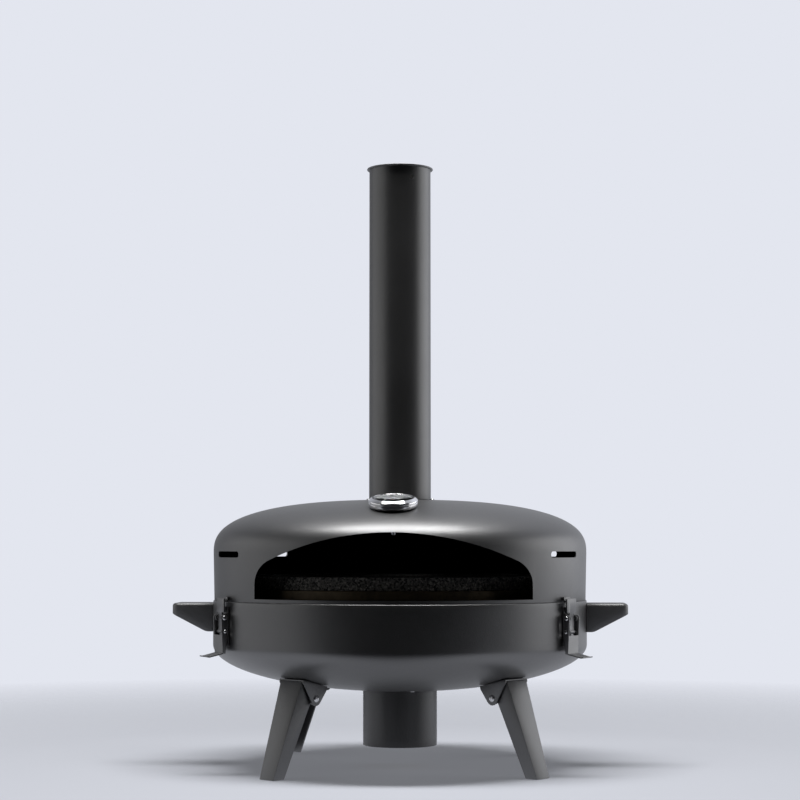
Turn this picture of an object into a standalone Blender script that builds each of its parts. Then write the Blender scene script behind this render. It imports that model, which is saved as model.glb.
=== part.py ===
"""Portable wood fired pizza oven: a round steel bowl and hood on four folding legs.

Metres, +Z up. The front, with the mouth, faces -Y. The origin is on the floor, on the body's axis.
Azimuths are in degrees from the front, positive towards +X.
"""
from math import acos, atan, atan2, cos, pi, radians, sin, sqrt, tan, tau

import bmesh
import bpy
from mathutils import Matrix, Vector

# Clearances and resolution
GAP = 0.0003
MERGE = 0.00001
BODY_STEPS = 48
PIPE_STEPS = 32
SMALL_STEPS = 10
CURVE_STEPS = 8
ARCH_STEPS = 14
CORNER_STEPS = 6
SLOT_END_STEPS = 8
BORE_LENGTH = 0.016

# Body shells
BODY_RADIUS = 0.240
SHEET = 0.002
RIM_Z = 0.212
BOWL_WALL_HEIGHT = 0.056
BOWL_FLOOR_DEPTH = 0.0597
HOOD_WALL_HEIGHT = 0.061
HOOD_CROWN_HEIGHT = 0.0674
HOOD_CROWN_POWER = 2.6
SEAT_RING_RISE = 0.0035
SEAT_RING_HEIGHT = 0.018

# Mouth and air slots, heights above the rim
MOUTH_HALF_WIDTH = 0.1688
MOUTH_SILL = 0.0045
MOUTH_APEX = 0.0852
MOUTH_ARC_RADIUS = 0.351
MOUTH_CORNER_RADIUS = 0.032
SLOT_CENTRE = 0.0586
SLOT_LENGTH = 0.067
SLOT_WIDTH = 0.0076
SLOT_AZIMUTHS = (-128.5, -61, 61, 128.5)

# Chimney and its collar
PIPE_RADIUS = 0.040
PIPE_WALL = 0.0015
CHIMNEY_LENGTH = 0.433
CHIMNEY_RIM_RADIUS = 0.043
CHIMNEY_RIM_HEIGHT = 0.002
CHIMNEY_HOLE_RADIUS = 0.0028
CHIMNEY_HOLE_DROP = 0.017
CHIMNEY_HOLE_AZIMUTH = 25
COLLAR_CLEARANCE = 0.0005
COLLAR_HEIGHT = 0.045
COLLAR_FLANGE_WIDTH = 0.016
COLLAR_RIVETS = 3
COLLAR_RIVET_AZIMUTH = 64

# Ash tube, cup and grate
TUBE_RADIUS = 0.0475
TUBE_WALL = 0.002
TUBE_DROP = 0.0716
TUBE_FLANGE_WIDTH = 0.010
TUBE_RIVETS = 3
TUBE_RIVET_AZIMUTH = 20
CUP_SKIRT = 0.016
CUP_KNOB_RADIUS = 0.008
CUP_KNOB_HEIGHT = 0.009
GRATE_RADIUS = 0.082
GRATE_RISE = 0.016
GRATE_SLOTS = 8
GRATE_SLOT_AZIMUTH = 28
GRATE_SLOT_WIDTH = 0.010
GRATE_HUB_RADIUS = 0.020
GRATE_RIM_WIDTH = 0.005

# Rivets of sheet metal
RIVET_RADIUS = 0.0016
RIVET_HEAD_RADIUS = 0.0032
RIVET_HEAD_HEIGHT = 0.0014

# Baking stone and its carrier
STONE_RADIUS = 0.200
STONE_THICKNESS = 0.016
STONE_TOP = 0.0313
STONE_CHAMFER = 0.0012
CARRIER_OVERHANG = 0.0035
CARRIER_WIDTH = 0.046
CARRIER_SKIRT = 0.011
POST_RADIUS = 0.004
POST_INSET = 0.010
POST_AZIMUTHS = (45, 135, 225, 315)

# Folding legs and brackets
LEG_AZIMUTHS = {"front_left": -41, "front_right": 51, "rear_left": -135, "rear_right": 131}
LEG_SHEET = 0.002
LEG_PIVOT_INSET = 0.070
LEG_PIVOT_DROP = 0.0192
LEG_FOOT_INSET = 0.0075
LEG_FOOT_DEPTH = 0.018
LEG_SPLAY = 19.3
LEG_TOP_WIDTH = 0.038
LEG_FOOT_WIDTH = 0.0245
LEG_EYE_RADIUS = 0.0075
LEG_NECK_OFFSET = 0.0036
BRACKET_INWARD = 0.020
BRACKET_OUTWARD = 0.0215
BRACKET_EYE_RADIUS = 0.0085
BRACKET_LIP = 0.004
LEG_PIN_RADIUS = 0.003
PIN_CLEARANCE = 0.0003
PIN_HEAD = 0.0015

# Side handles
HANDLE_AZIMUTHS = {"left": -90, "right": 90}
HANDLE_REACH = 0.052
HANDLE_WIDTH = 0.056
HANDLE_TOP = 0.004
HANDLE_TIP_HEIGHT = 0.0135
HANDLE_DROP = 0.0363
HANDLE_CORNER = 0.008
HANDLE_HEEL = 0.004
HANDLE_HEEL_RADIUS = 0.016
HANDLE_SHEET = 0.002
BOLT_RADIUS = 0.0022
BOLT_HEAD_RADIUS = 0.0042
BOLT_HEAD_HEIGHT = 0.003
BOLT_SPREAD = 0.028
BOLT_DROP = 0.026

# Toggle latches: distances out from the wall and down from the rim
LATCH_AZIMUTHS = {"left": -61, "right": 61}
LATCH_SHEET = 0.0015
LATCH_PIVOT_OUT = 0.0076
LATCH_PIVOT_DROP = 0.0195
CLAW_PIVOT_OUT = 0.0066
CLAW_PIVOT_DROP = 0.036
LATCH_BASE_WIDTH = 0.019
LATCH_BASE_TOP = 0.006
LATCH_BASE_BOTTOM = 0.054
LATCH_EAR_RADIUS = 0.0036
LEVER_WIDTH = 0.028
LEVER_EYE_RADIUS = 0.0042
LEVER_WAIST = 0.0035
LEVER_BOTTOM = 0.063
LEVER_TOE_OUT = 0.0062
LEVER_WEB_DROP = 0.0405
FINGER_TAB_LENGTH = 0.020
FINGER_TAB_DROOP = 0.004
CLAW_WIDTH = 0.0125
CLAW_EYE_RADIUS = 0.0026
CLAW_HOOK = 0.0017
CATCH_WIDTH = 0.016
CATCH_HEIGHT = 0.006
CATCH_SHELF = 0.0042
CLAW_CLEARANCE = 0.0004
LATCH_PIN_RADIUS = 0.0016
LATCH_PIN_HEAD_RADIUS = 0.0028
CLAW_PIN_RADIUS = 0.0013
CLAW_PIN_HEAD_RADIUS = 0.0024

# Dial thermometer on the hood's front shoulder, sizes along its own axis
GAUGE_INSET = 0.071
GAUGE_RADIUS = 0.030
GAUGE_HEIGHT = 0.016
GAUGE_BEZEL_HEIGHT = 0.0055
GAUGE_FLOOR = 0.008
GAUGE_FOOT_STEP = 0.0015
GLASS_RADIUS = 0.0243
GLASS_THICKNESS = 0.0019
GLASS_LEDGE = 0.0018
GLASS_RECESS = 0.0004
DIAL_THICKNESS = 0.0008
NEEDLE_LENGTH = 0.017
NEEDLE_HUB_RADIUS = 0.0022
NEEDLE_THICKNESS = 0.0008
NEEDLE_REST_ANGLE = 225
SPINDLE_RADIUS = 0.0012
STEM_RADIUS = 0.003
STEM_LENGTH = 0.033
NUT_RADIUS = 0.0075
NUT_HEIGHT = 0.005

# Sizes that follow from the driving dimensions
POST_CIRCLE = STONE_RADIUS - POST_INSET
LEG_PIVOT_CIRCLE = BODY_RADIUS - LEG_PIVOT_INSET
LEG_FOOT_CIRCLE = BODY_RADIUS - LEG_FOOT_INSET
GAUGE_CIRCLE = BODY_RADIUS - GAUGE_INSET
BOWL_CURVE_Z = RIM_Z - BOWL_WALL_HEIGHT
HOOD_BASE_Z = RIM_Z + GAP
HOOD_CURVE_Z = RIM_Z + HOOD_WALL_HEIGHT
UPRIGHT = Matrix.Rotation(pi / 2, 4, "X")

FINISHES = {
    "black_coating": ((0.045, 0.045, 0.047), 0.5, 0.0),
    "grey_coating": ((0.16, 0.16, 0.165), 0.45, 0.0),
    "bare_steel": ((0.55, 0.55, 0.56), 0.3, 1.0),
    "chrome": ((0.8, 0.8, 0.82), 0.08, 1.0),
    "burnt_steel": ((0.12, 0.1, 0.07), 0.6, 0.6),
    "stone": ((0.2, 0.19, 0.17), 0.9, 0.0),
    "dial_white": ((0.85, 0.85, 0.82), 0.5, 0.0),
    "needle_red": ((0.6, 0.03, 0.02), 0.4, 0.0),
    "glass": ((0.9, 0.93, 0.95), 0.02, 0.0),
}

for leftover in list(bpy.data.objects):
    bpy.data.objects.remove(leftover, do_unlink=True)

PARTS = bpy.data.collections.new("pizza_oven")
CUTTERS = bpy.data.collections.new("cutters")
for group in (PARTS, CUTTERS):
    bpy.context.scene.collection.children.link(group)


def finish(name):
    """The named finish as a material, made on first use."""
    made = bpy.data.materials.get(name)
    if made:
        return made
    colour, roughness, metallic = FINISHES[name]
    made = bpy.data.materials.new(name)
    made.use_nodes = True
    shader = made.node_tree.nodes["Principled BSDF"]
    shader.inputs["Base Color"].default_value = (*colour, 1.0)
    shader.inputs["Roughness"].default_value = roughness
    shader.inputs["Metallic"].default_value = metallic
    made.diffuse_color = (*colour, 1.0)
    return made


def add_object(name, mesh, coat):
    """A part with its finish, or a hidden cutter where no finish is given."""
    part = bpy.data.objects.new(name, mesh)
    if coat:
        mesh.materials.append(finish(coat))
        PARTS.objects.link(part)
    else:
        part.hide_render = True
        part.display_type = "WIRE"
        CUTTERS.objects.link(part)
    return part


def turned(name, profile, coat, steps=BODY_STEPS, closed=True):
    """A profile of (radius, height) points, run down its outer side, turned about Z."""
    mesh = bpy.data.meshes.new(name)
    count = len(profile)
    edges = [(i, i + 1) for i in range(count - 1)]
    if closed:
        edges.append((count - 1, 0))
    mesh.from_pydata([(r, 0.0, z) for r, z in profile], edges, [])
    part = add_object(name, mesh, coat)
    turn = part.modifiers.new("turn", "SCREW")
    turn.axis = "Z"
    turn.steps = turn.render_steps = steps
    turn.use_merge_vertices = True
    turn.merge_threshold = MERGE
    return part


def prism(name, outline, thickness, coat, holes=()):
    """A flat outline with holes, extruded both ways across its plane."""
    curve = bpy.data.curves.new(name, "CURVE")
    curve.dimensions = "2D"
    curve.fill_mode = "BOTH"
    curve.extrude = thickness / 2
    for loop in (outline, *holes):
        spline = curve.splines.new("POLY")
        spline.points.add(len(loop) - 1)
        for point, (u, v) in zip(spline.points, loop):
            point.co = (u, v, 0.0, 1.0)
        spline.use_cyclic_u = True
    carrier = bpy.data.objects.new(name, curve)
    CUTTERS.objects.link(carrier)
    evaluated = carrier.evaluated_get(bpy.context.evaluated_depsgraph_get())
    mesh = bpy.data.meshes.new_from_object(evaluated)
    bpy.data.objects.remove(carrier, do_unlink=True)
    bpy.data.curves.remove(curve)
    mesh.materials.clear()
    shape = bmesh.new()
    shape.from_mesh(mesh)
    bmesh.ops.remove_doubles(shape, verts=shape.verts, dist=MERGE)
    bmesh.ops.recalc_face_normals(shape, faces=shape.faces)
    shape.to_mesh(mesh)
    shape.free()
    return add_object(name, mesh, coat)


def side_prism(name, outline, thickness, coat, holes=()):
    """A prism whose outline is (out, up) and whose thickness lies sideways."""
    part = prism(name, outline, thickness, coat, holes)
    part.data.transform(UPRIGHT)
    return part


def cut(part, cutter, operation="DIFFERENCE", ride=False):
    """Cut or join a cutter; one that rides is drawn in the part's own coordinates."""
    if ride:
        cutter.parent = part
    change = part.modifiers.new(cutter.name, "BOOLEAN")
    change.object = cutter
    change.operation = operation
    change.solver = "EXACT"


def bore(part, centre, direction, radius):
    """A round hole through one wall of the part."""
    shape = bmesh.new()
    bmesh.ops.create_cone(shape, cap_ends=True, segments=SMALL_STEPS, radius1=radius, radius2=radius,
                          depth=BORE_LENGTH)
    mesh = bpy.data.meshes.new(part.name + "_bore")
    shape.to_mesh(mesh)
    shape.free()
    turn = Vector((0, 0, 1)).rotation_difference(Vector(direction)).to_matrix().to_4x4()
    mesh.transform(Matrix.Translation(centre) @ turn)
    cut(part, add_object(mesh.name, mesh, None))


def place(part, azimuth, out=0.0, height=0.0, lean=(0.0, 0.0)):
    """Turn a part to its azimuth, with its origin out from the axis, after leaning it about X and Y."""
    heading = radians(azimuth - 90)
    part.location = (out * cos(heading), out * sin(heading), height)
    part.rotation_euler = (*lean, heading)
    return part


def recentre(part, out, height):
    """Put the part's origin at a pivot of its own outline."""
    part.data.transform(Matrix.Translation((-out, 0, -height)))


def ring_points(centre, radius, count=SMALL_STEPS):
    """Points round a circle."""
    return [(centre[0] + radius * cos(tau * i / count), centre[1] + radius * sin(tau * i / count))
            for i in range(count)]


def arc(centre, radius, start, end, count):
    """Points along an arc, angles in radians."""
    angles = [start + (end - start) * i / count for i in range(count + 1)]
    return [(centre[0] + radius * cos(a), centre[1] + radius * sin(a)) for a in angles]


def wrap(points):
    """The outline of a band drawn tight round the points, counter-clockwise."""
    points = sorted(set(points))

    def half(order):
        chain = []
        for p in order:
            while len(chain) > 1 and ((chain[-1][0] - chain[-2][0]) * (p[1] - chain[-2][1])
                                      <= (chain[-1][1] - chain[-2][1]) * (p[0] - chain[-2][0])):
                chain.pop()
            chain.append(p)
        return chain[:-1]

    return half(points) + half(points[::-1])


def rectangle(low_u, low_v, high_u, high_v):
    """Corners of a rectangle."""
    return [(low_u, low_v), (high_u, low_v), (high_u, high_v), (low_u, high_v)]


def headed_pin(name, radius, head_radius, head_height, low, high, coat, steps=SMALL_STEPS):
    """A pin along Z with a head outside each end of its grip."""
    profile = [(0, high + head_height), (head_radius, high + head_height), (head_radius, high),
               (radius, high), (radius, low), (head_radius, low), (head_radius, low - head_height),
               (0, low - head_height)]
    return turned(name, profile, coat, steps, closed=False)


def bowl_z(r, inset=0.0):
    """Height of the bowl's curved floor at a radius, outside, or inside by the inset."""
    share = r / (BODY_RADIUS - inset)
    return BOWL_CURVE_Z - (BOWL_FLOOR_DEPTH - inset) * sqrt(1 - share * share)


def bowl_slope(r):
    """Rise of the bowl's underside per unit of radius."""
    share = r / BODY_RADIUS
    return BOWL_FLOOR_DEPTH / BODY_RADIUS * share / sqrt(1 - share * share)


def hood_z(r, inset=0.0):
    """Height of the hood's crown at a radius, outside, or inside by the inset."""
    share = (r / (BODY_RADIUS - inset)) ** HOOD_CROWN_POWER
    return HOOD_CURVE_Z + (HOOD_CROWN_HEIGHT - inset) * (1 - share) ** (1 / HOOD_CROWN_POWER)


def hood_slope(r):
    """Fall of the crown per unit of radius."""
    share = r / BODY_RADIUS
    rest = 1 - share ** HOOD_CROWN_POWER
    power = HOOD_CROWN_POWER
    return HOOD_CROWN_HEIGHT / BODY_RADIUS * share ** (power - 1) * rest ** (1 / power - 1)


TUBE_SEAT = TUBE_RADIUS + TUBE_FLANGE_WIDTH + SHEET
BOWL_SEAT_Z = bowl_z(TUBE_SEAT)
BOWL_SEAT_TOP = bowl_z(TUBE_SEAT, SHEET)
TUBE_FLANGE_TOP = BOWL_SEAT_TOP + GAP + TUBE_WALL
TUBE_BOTTOM = BOWL_SEAT_Z - TUBE_DROP


def bowl_curve(inset, count=CURVE_STEPS):
    """The bowl's floor from its wall to the flat seat round the ash tube."""
    radius, depth = BODY_RADIUS - inset, BOWL_FLOOR_DEPTH - inset
    last = acos(TUBE_SEAT / radius)
    return [(radius * cos(last * i / count), BOWL_CURVE_Z - depth * sin(last * i / count))
            for i in range(count + 1)]


def make_bowl():
    hole = TUBE_RADIUS + GAP
    outside = [(BODY_RADIUS, RIM_Z), *bowl_curve(0.0), (hole, BOWL_SEAT_Z)]
    inside = [(hole, BOWL_SEAT_TOP), *bowl_curve(SHEET)[::-1], (BODY_RADIUS - SHEET, RIM_Z)]
    bowl = turned("bowl", outside + inside, "black_coating")

    ring_out = BODY_RADIUS - SHEET - GAP
    ring_top = RIM_Z + SEAT_RING_RISE
    ring_low = ring_top - SEAT_RING_HEIGHT
    turned("seat_ring", [(ring_out, ring_top), (ring_out, ring_low), (ring_out - SHEET, ring_low),
                         (ring_out - SHEET, ring_top)], "burnt_steel")
    return bowl


def make_ash_tube(bowl):
    flange = TUBE_RADIUS + TUBE_FLANGE_WIDTH
    low = BOWL_SEAT_TOP + GAP
    bore_radius = TUBE_RADIUS - TUBE_WALL
    tube = turned("ash_tube", [(flange, TUBE_FLANGE_TOP), (flange, low), (TUBE_RADIUS, low),
                               (TUBE_RADIUS, TUBE_BOTTOM), (bore_radius, TUBE_BOTTOM),
                               (bore_radius, TUBE_FLANGE_TOP)], "black_coating", PIPE_STEPS)
    circle = TUBE_RADIUS + TUBE_FLANGE_WIDTH / 2
    for i in range(TUBE_RIVETS):
        rivet = headed_pin(f"tube_rivet_{i + 1}", RIVET_RADIUS, RIVET_HEAD_RADIUS, RIVET_HEAD_HEIGHT,
                           BOWL_SEAT_Z - GAP, TUBE_FLANGE_TOP + GAP, "bare_steel")
        place(rivet, TUBE_RIVET_AZIMUTH + 360 * i / TUBE_RIVETS, circle)
        spot = (*rivet.location[:2], BOWL_SEAT_TOP)
        for holed in (bowl, tube):
            bore(holed, spot, (0, 0, 1), RIVET_RADIUS + PIN_CLEARANCE)

    cup = bore_radius - GAP
    floor = TUBE_BOTTOM + GAP
    turned("ash_cup", [(cup, floor + CUP_SKIRT), (cup, floor), (CUP_KNOB_RADIUS, floor),
                       (CUP_KNOB_RADIUS, floor - CUP_KNOB_HEIGHT), (0, floor - CUP_KNOB_HEIGHT),
                       (0, floor + TUBE_WALL), (cup - TUBE_WALL, floor + TUBE_WALL),
                       (cup - TUBE_WALL, floor + CUP_SKIRT)], "burnt_steel", PIPE_STEPS)


def make_grate():
    foot = bowl_z(GRATE_RADIUS, SHEET) + GAP
    top = foot + GRATE_RISE
    grate = turned("fire_grate", [(0, top), (GRATE_RADIUS, top), (GRATE_RADIUS, foot),
                                  (GRATE_RADIUS - SHEET, foot), (GRATE_RADIUS - SHEET, top - SHEET),
                                  (0, top - SHEET)], "burnt_steel", PIPE_STEPS, closed=False)
    end = GRATE_SLOT_WIDTH / 2
    near, far = GRATE_HUB_RADIUS + end, GRATE_RADIUS - GRATE_RIM_WIDTH - end
    slot = wrap(ring_points((near, 0), end, SLOT_END_STEPS) + ring_points((far, 0), end, SLOT_END_STEPS))
    for i in range(GRATE_SLOTS):
        cutter = prism("grate_slot", slot, GRATE_RISE, None)
        place(cutter, GRATE_SLOT_AZIMUTH + 360 * i / GRATE_SLOTS, 0, top)
        cut(grate, cutter)


def make_stone():
    top = RIM_Z + STONE_TOP
    low = top - STONE_THICKNESS
    bevel = STONE_CHAMFER
    turned("pizza_stone", [(0, top), (STONE_RADIUS - bevel, top), (STONE_RADIUS, top - bevel),
                           (STONE_RADIUS, low + bevel), (STONE_RADIUS - bevel, low), (0, low)],
           "stone", closed=False)
    seat = low - GAP
    out = STONE_RADIUS + CARRIER_OVERHANG
    turned("stone_carrier", [(out, seat), (out, seat - CARRIER_SKIRT), (out - SHEET, seat - CARRIER_SKIRT),
                             (out - SHEET, seat - SHEET), (out - CARRIER_WIDTH, seat - SHEET),
                             (out - CARRIER_WIDTH, seat)], "burnt_steel")
    foot = bowl_z(POST_CIRCLE + POST_RADIUS, SHEET) + GAP
    head = seat - SHEET - GAP
    for i, azimuth in enumerate(POST_AZIMUTHS):
        profile = [(0, head), (POST_RADIUS, head), (POST_RADIUS, foot), (0, foot)]
        post = turned(f"carrier_post_{i + 1}", profile, "burnt_steel", SMALL_STEPS, closed=False)
        place(post, azimuth, POST_CIRCLE)


def hood_curve(hole, inset, count=CURVE_STEPS):
    """The crown from the flue hole out to the top of the wall."""
    radius, height = BODY_RADIUS - inset, HOOD_CROWN_HEIGHT - inset
    power = 2 / HOOD_CROWN_POWER
    last = acos((hole / radius) ** (1 / power))
    angles = [last * (1 - i / count) for i in range(count + 1)]
    return [(radius * cos(a) ** power, HOOD_CURVE_Z + height * sin(a) ** power) for a in angles]


def mouth_outline():
    """Upright sides, round corners and a shallow arch, as (across, up)."""
    corner = MOUTH_CORNER_RADIUS
    arch_z = RIM_Z + MOUTH_APEX - MOUTH_ARC_RADIUS
    across = MOUTH_HALF_WIDTH - corner
    up = arch_z + sqrt((MOUTH_ARC_RADIUS - corner) ** 2 - across ** 2)
    lean = atan((up - arch_z) / across)
    sill = RIM_Z + MOUTH_SILL
    right = arc((across, up), corner, 0, lean, CORNER_STEPS)
    arch = arc((0, arch_z), MOUTH_ARC_RADIUS, lean, pi - lean, ARCH_STEPS)[1:-1]
    left = arc((-across, up), corner, pi - lean, pi, CORNER_STEPS)
    return [(MOUTH_HALF_WIDTH, sill), *right, *arch, *left, (-MOUTH_HALF_WIDTH, sill)]


COLLAR_RADIUS = PIPE_RADIUS - PIPE_WALL - COLLAR_CLEARANCE


def make_hood():
    hole = COLLAR_RADIUS + GAP
    outside = [*hood_curve(hole, 0.0), (BODY_RADIUS, HOOD_BASE_Z)]
    inside = [(BODY_RADIUS - SHEET, HOOD_BASE_Z), *hood_curve(hole, SHEET)[::-1]]
    hood = turned("hood", outside + inside, "black_coating")
    mouth = side_prism("mouth", mouth_outline(), BODY_RADIUS, None)
    mouth.location.y = -BODY_RADIUS
    cut(hood, mouth)
    end = SLOT_WIDTH / 2
    half = SLOT_LENGTH / 2 - end
    slot = wrap(ring_points((-half, 0), end, SLOT_END_STEPS) + ring_points((half, 0), end, SLOT_END_STEPS))
    for azimuth in SLOT_AZIMUTHS:
        cutter = prism("air_slot", slot, BODY_RADIUS / 3, None)
        cutter.data.transform(Matrix.Rotation(pi / 2, 4, "Z") @ UPRIGHT)
        cut(hood, place(cutter, azimuth, BODY_RADIUS, RIM_Z + SLOT_CENTRE))
    return hood


def make_chimney(hood):
    flange = COLLAR_RADIUS + COLLAR_FLANGE_WIDTH
    flange_top = hood_z(flange, SHEET) - GAP
    spigot_top = hood_z(COLLAR_RADIUS) + COLLAR_HEIGHT
    inner = COLLAR_RADIUS - PIPE_WALL
    collar = turned("flue_collar", [(COLLAR_RADIUS, spigot_top), (COLLAR_RADIUS, flange_top),
                                    (flange, flange_top), (flange, flange_top - SHEET),
                                    (inner, flange_top - SHEET), (inner, spigot_top)],
                    "black_coating", PIPE_STEPS)
    circle = (flange + PIPE_RADIUS) / 2
    for i in range(COLLAR_RIVETS):
        rivet = headed_pin(f"collar_rivet_{i + 1}", RIVET_RADIUS, RIVET_HEAD_RADIUS, RIVET_HEAD_HEIGHT,
                           flange_top - SHEET - GAP, hood_z(circle - RIVET_HEAD_RADIUS) + GAP,
                           "bare_steel")
        place(rivet, COLLAR_RIVET_AZIMUTH + 360 * i / COLLAR_RIVETS, circle)
        spot = (*rivet.location[:2], flange_top)
        for holed in (hood, collar):
            bore(holed, spot, (0, 0, 1), RIVET_RADIUS + PIN_CLEARANCE)

    foot = hood_z(PIPE_RADIUS - PIPE_WALL) + GAP
    top = foot + CHIMNEY_LENGTH
    under_rim = top - CHIMNEY_RIM_HEIGHT
    bore_radius = PIPE_RADIUS - PIPE_WALL
    chimney = turned("chimney", [(CHIMNEY_RIM_RADIUS, top), (CHIMNEY_RIM_RADIUS, under_rim),
                                 (PIPE_RADIUS, under_rim), (PIPE_RADIUS, foot), (bore_radius, foot),
                                 (bore_radius, top)], "black_coating", PIPE_STEPS)
    heading = radians(CHIMNEY_HOLE_AZIMUTH - 90)
    way = (cos(heading), sin(heading), 0)
    spot = Vector(way) * PIPE_RADIUS + Vector((0, 0, top - CHIMNEY_HOLE_DROP))
    bore(chimney, spot, way, CHIMNEY_HOLE_RADIUS)


def make_gauge(hood):
    """Dial thermometer, drawn along its own axis from the hood's skin, then leaned to the slope."""
    slope = atan(hood_slope(GAUGE_CIRCLE))
    spot = Vector((0, -GAUGE_CIRCLE, hood_z(GAUGE_CIRCLE)))
    axis = Vector((0, -sin(slope), cos(slope)))
    clear = 2 * GAP
    recess = GLASS_RADIUS + GAP
    ledge_z = GAUGE_HEIGHT - GLASS_RECESS - GLASS_THICKNESS - GAP
    ledge = GLASS_RADIUS - GLASS_LEDGE
    shaft = SPINDLE_RADIUS + PIN_CLEARANCE
    lip = recess + GAUGE_FOOT_STEP
    case = turned("thermometer_case", [
        (lip, GAUGE_HEIGHT), (GAUGE_RADIUS, GAUGE_HEIGHT - GAUGE_BEZEL_HEIGHT),
        (GAUGE_RADIUS, clear + 2 * GAUGE_FOOT_STEP), (GAUGE_RADIUS - GAUGE_FOOT_STEP, clear),
        (shaft, clear), (shaft, GAUGE_FLOOR), (ledge, GAUGE_FLOOR), (ledge, ledge_z), (recess, ledge_z),
        (recess, GAUGE_HEIGHT)], "chrome", PIPE_STEPS)
    glass_low = ledge_z + GAP
    glass_top = glass_low + GLASS_THICKNESS
    glass = turned("thermometer_glass", [(0, glass_top), (GLASS_RADIUS, glass_top), (GLASS_RADIUS, glass_low),
                                         (0, glass_low)], "glass", PIPE_STEPS, closed=False)
    dial_low = GAUGE_FLOOR + GAP
    dial_top = dial_low + DIAL_THICKNESS
    dial = turned("thermometer_dial", [(ledge - GAP, dial_top), (ledge - GAP, dial_low), (shaft, dial_low),
                                       (shaft, dial_top)], "dial_white", PIPE_STEPS)
    stem = turned("thermometer_stem", [(0, dial_top), (SPINDLE_RADIUS, dial_top), (SPINDLE_RADIUS, GAP),
                                       (STEM_RADIUS, GAP), (STEM_RADIUS, -STEM_LENGTH), (0, -STEM_LENGTH)],
                  "bare_steel", SMALL_STEPS, closed=False)
    nut = prism("thermometer_nut", ring_points((0, 0), NUT_RADIUS, 6), NUT_HEIGHT, "bare_steel",
                [ring_points((0, 0), STEM_RADIUS + PIN_CLEARANCE)])
    nut.data.transform(Matrix.Translation((0, 0, -SHEET - clear - NUT_HEIGHT / 2)))
    pointer = radians(NEEDLE_REST_ANGLE)
    tip = (NEEDLE_LENGTH * cos(pointer), NEEDLE_LENGTH * sin(pointer))
    needle = prism("thermometer_needle", wrap([*ring_points((0, 0), NEEDLE_HUB_RADIUS), tip]),
                   NEEDLE_THICKNESS, "needle_red")
    needle.data.transform(Matrix.Translation((0, 0, dial_top + GAP + NEEDLE_THICKNESS / 2)))
    for piece in (case, glass, dial, stem, nut, needle):
        piece.location = spot
        piece.rotation_euler.x = slope
    bore(hood, spot, axis, STEM_RADIUS + PIN_CLEARANCE)


def make_leg(name, azimuth):
    """A folding channel leg, its bracket under the bowl and its pivot pin."""
    out, up = LEG_PIVOT_CIRCLE, bowl_z(LEG_PIVOT_CIRCLE) - LEG_PIVOT_DROP
    rise = atan(bowl_slope(LEG_PIVOT_CIRCLE))

    def web(along, below):
        """A point along the bowl's tangent at the pivot, and below it."""
        return (out + along * cos(rise) + below * sin(rise),
                bowl_z(out) + along * sin(rise) - below * cos(rise))

    ear = LEG_TOP_WIDTH / 2 + 2 * GAP
    web_low = GAP + LEG_SHEET
    hole = [ring_points((out, up), LEG_PIN_RADIUS + PIN_CLEARANCE)]
    ends = [web(s, q) for s in (-BRACKET_INWARD, BRACKET_OUTWARD) for q in (GAP, GAP + BRACKET_LIP)]
    outline = wrap(ends + ring_points((out, up), BRACKET_EYE_RADIUS))
    bracket = side_prism(f"leg_bracket_{name}", outline, 2 * (ear + LEG_SHEET), "black_coating", hole)
    reach = BRACKET_INWARD + BRACKET_OUTWARD
    room = [web(-reach, web_low), web(reach, web_low), web(reach, reach), web(-reach, reach)]
    cut(bracket, side_prism("bracket_room", room, 2 * ear, None), ride=True)
    place(bracket, azimuth)

    lean = tan(radians(LEG_SPLAY))
    top_below = web_low + GAP
    # The outer face, drawn up from the foot, meets the line just under the bracket's web.
    base = web(0, top_below)
    slope = tan(rise)
    top_z = (base[1] + slope * (LEG_FOOT_CIRCLE - base[0])) / (1 + slope * lean)
    top = (LEG_FOOT_CIRCLE - lean * top_z, top_z)
    crest = web(-LEG_PIVOT_DROP * sin(rise), top_below)
    foot_in = (LEG_FOOT_CIRCLE - LEG_FOOT_DEPTH, 0.0)
    # The flange's inner edge runs up into the eye, outside the pivot by the neck's offset.
    edge = atan2(up, out + LEG_NECK_OFFSET - foot_in[0])
    eye_start = rise + pi / 2 + acos(LEG_EYE_RADIUS / (LEG_PIVOT_DROP * cos(rise) - top_below))
    eye_end = edge - pi / 2 - acos(LEG_NECK_OFFSET * sin(edge) / LEG_EYE_RADIUS) + tau
    eye = arc((out, up), LEG_EYE_RADIUS, eye_start, eye_end, SMALL_STEPS)
    profile = [(LEG_FOOT_CIRCLE, 0.0), top, crest, *eye, foot_in]
    leg = side_prism(f"leg_{name}", profile, 2.0, "black_coating", hole)
    skin = LEG_SHEET / cos(radians(LEG_SPLAY))
    far = 2 * top_z
    hollow = [(LEG_FOOT_CIRCLE - skin + lean * top_z, -top_z), (LEG_FOOT_CIRCLE - skin - lean * far, far),
              (out - far, far), (out - far, -top_z)]
    room = side_prism("leg_room", hollow, 2.0, None)
    for shape, wall in ((leg, 0.0), (room, LEG_SHEET)):
        for vertex in shape.data.vertices:
            share = vertex.co.z / top_z
            width = LEG_FOOT_WIDTH + (LEG_TOP_WIDTH - LEG_FOOT_WIDTH) * share
            vertex.co.y *= width / 2 - wall
        recentre(shape, out, up)
    cut(leg, room, ride=True)
    place(leg, azimuth, out, up)

    grip = ear + LEG_SHEET + GAP
    pin = headed_pin(f"leg_pin_{name}", LEG_PIN_RADIUS, LEG_PIN_RADIUS + PIN_HEAD, PIN_HEAD, -grip, grip,
                     "bare_steel")
    place(pin, azimuth, out, up, (pi / 2, 0.0))


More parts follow.
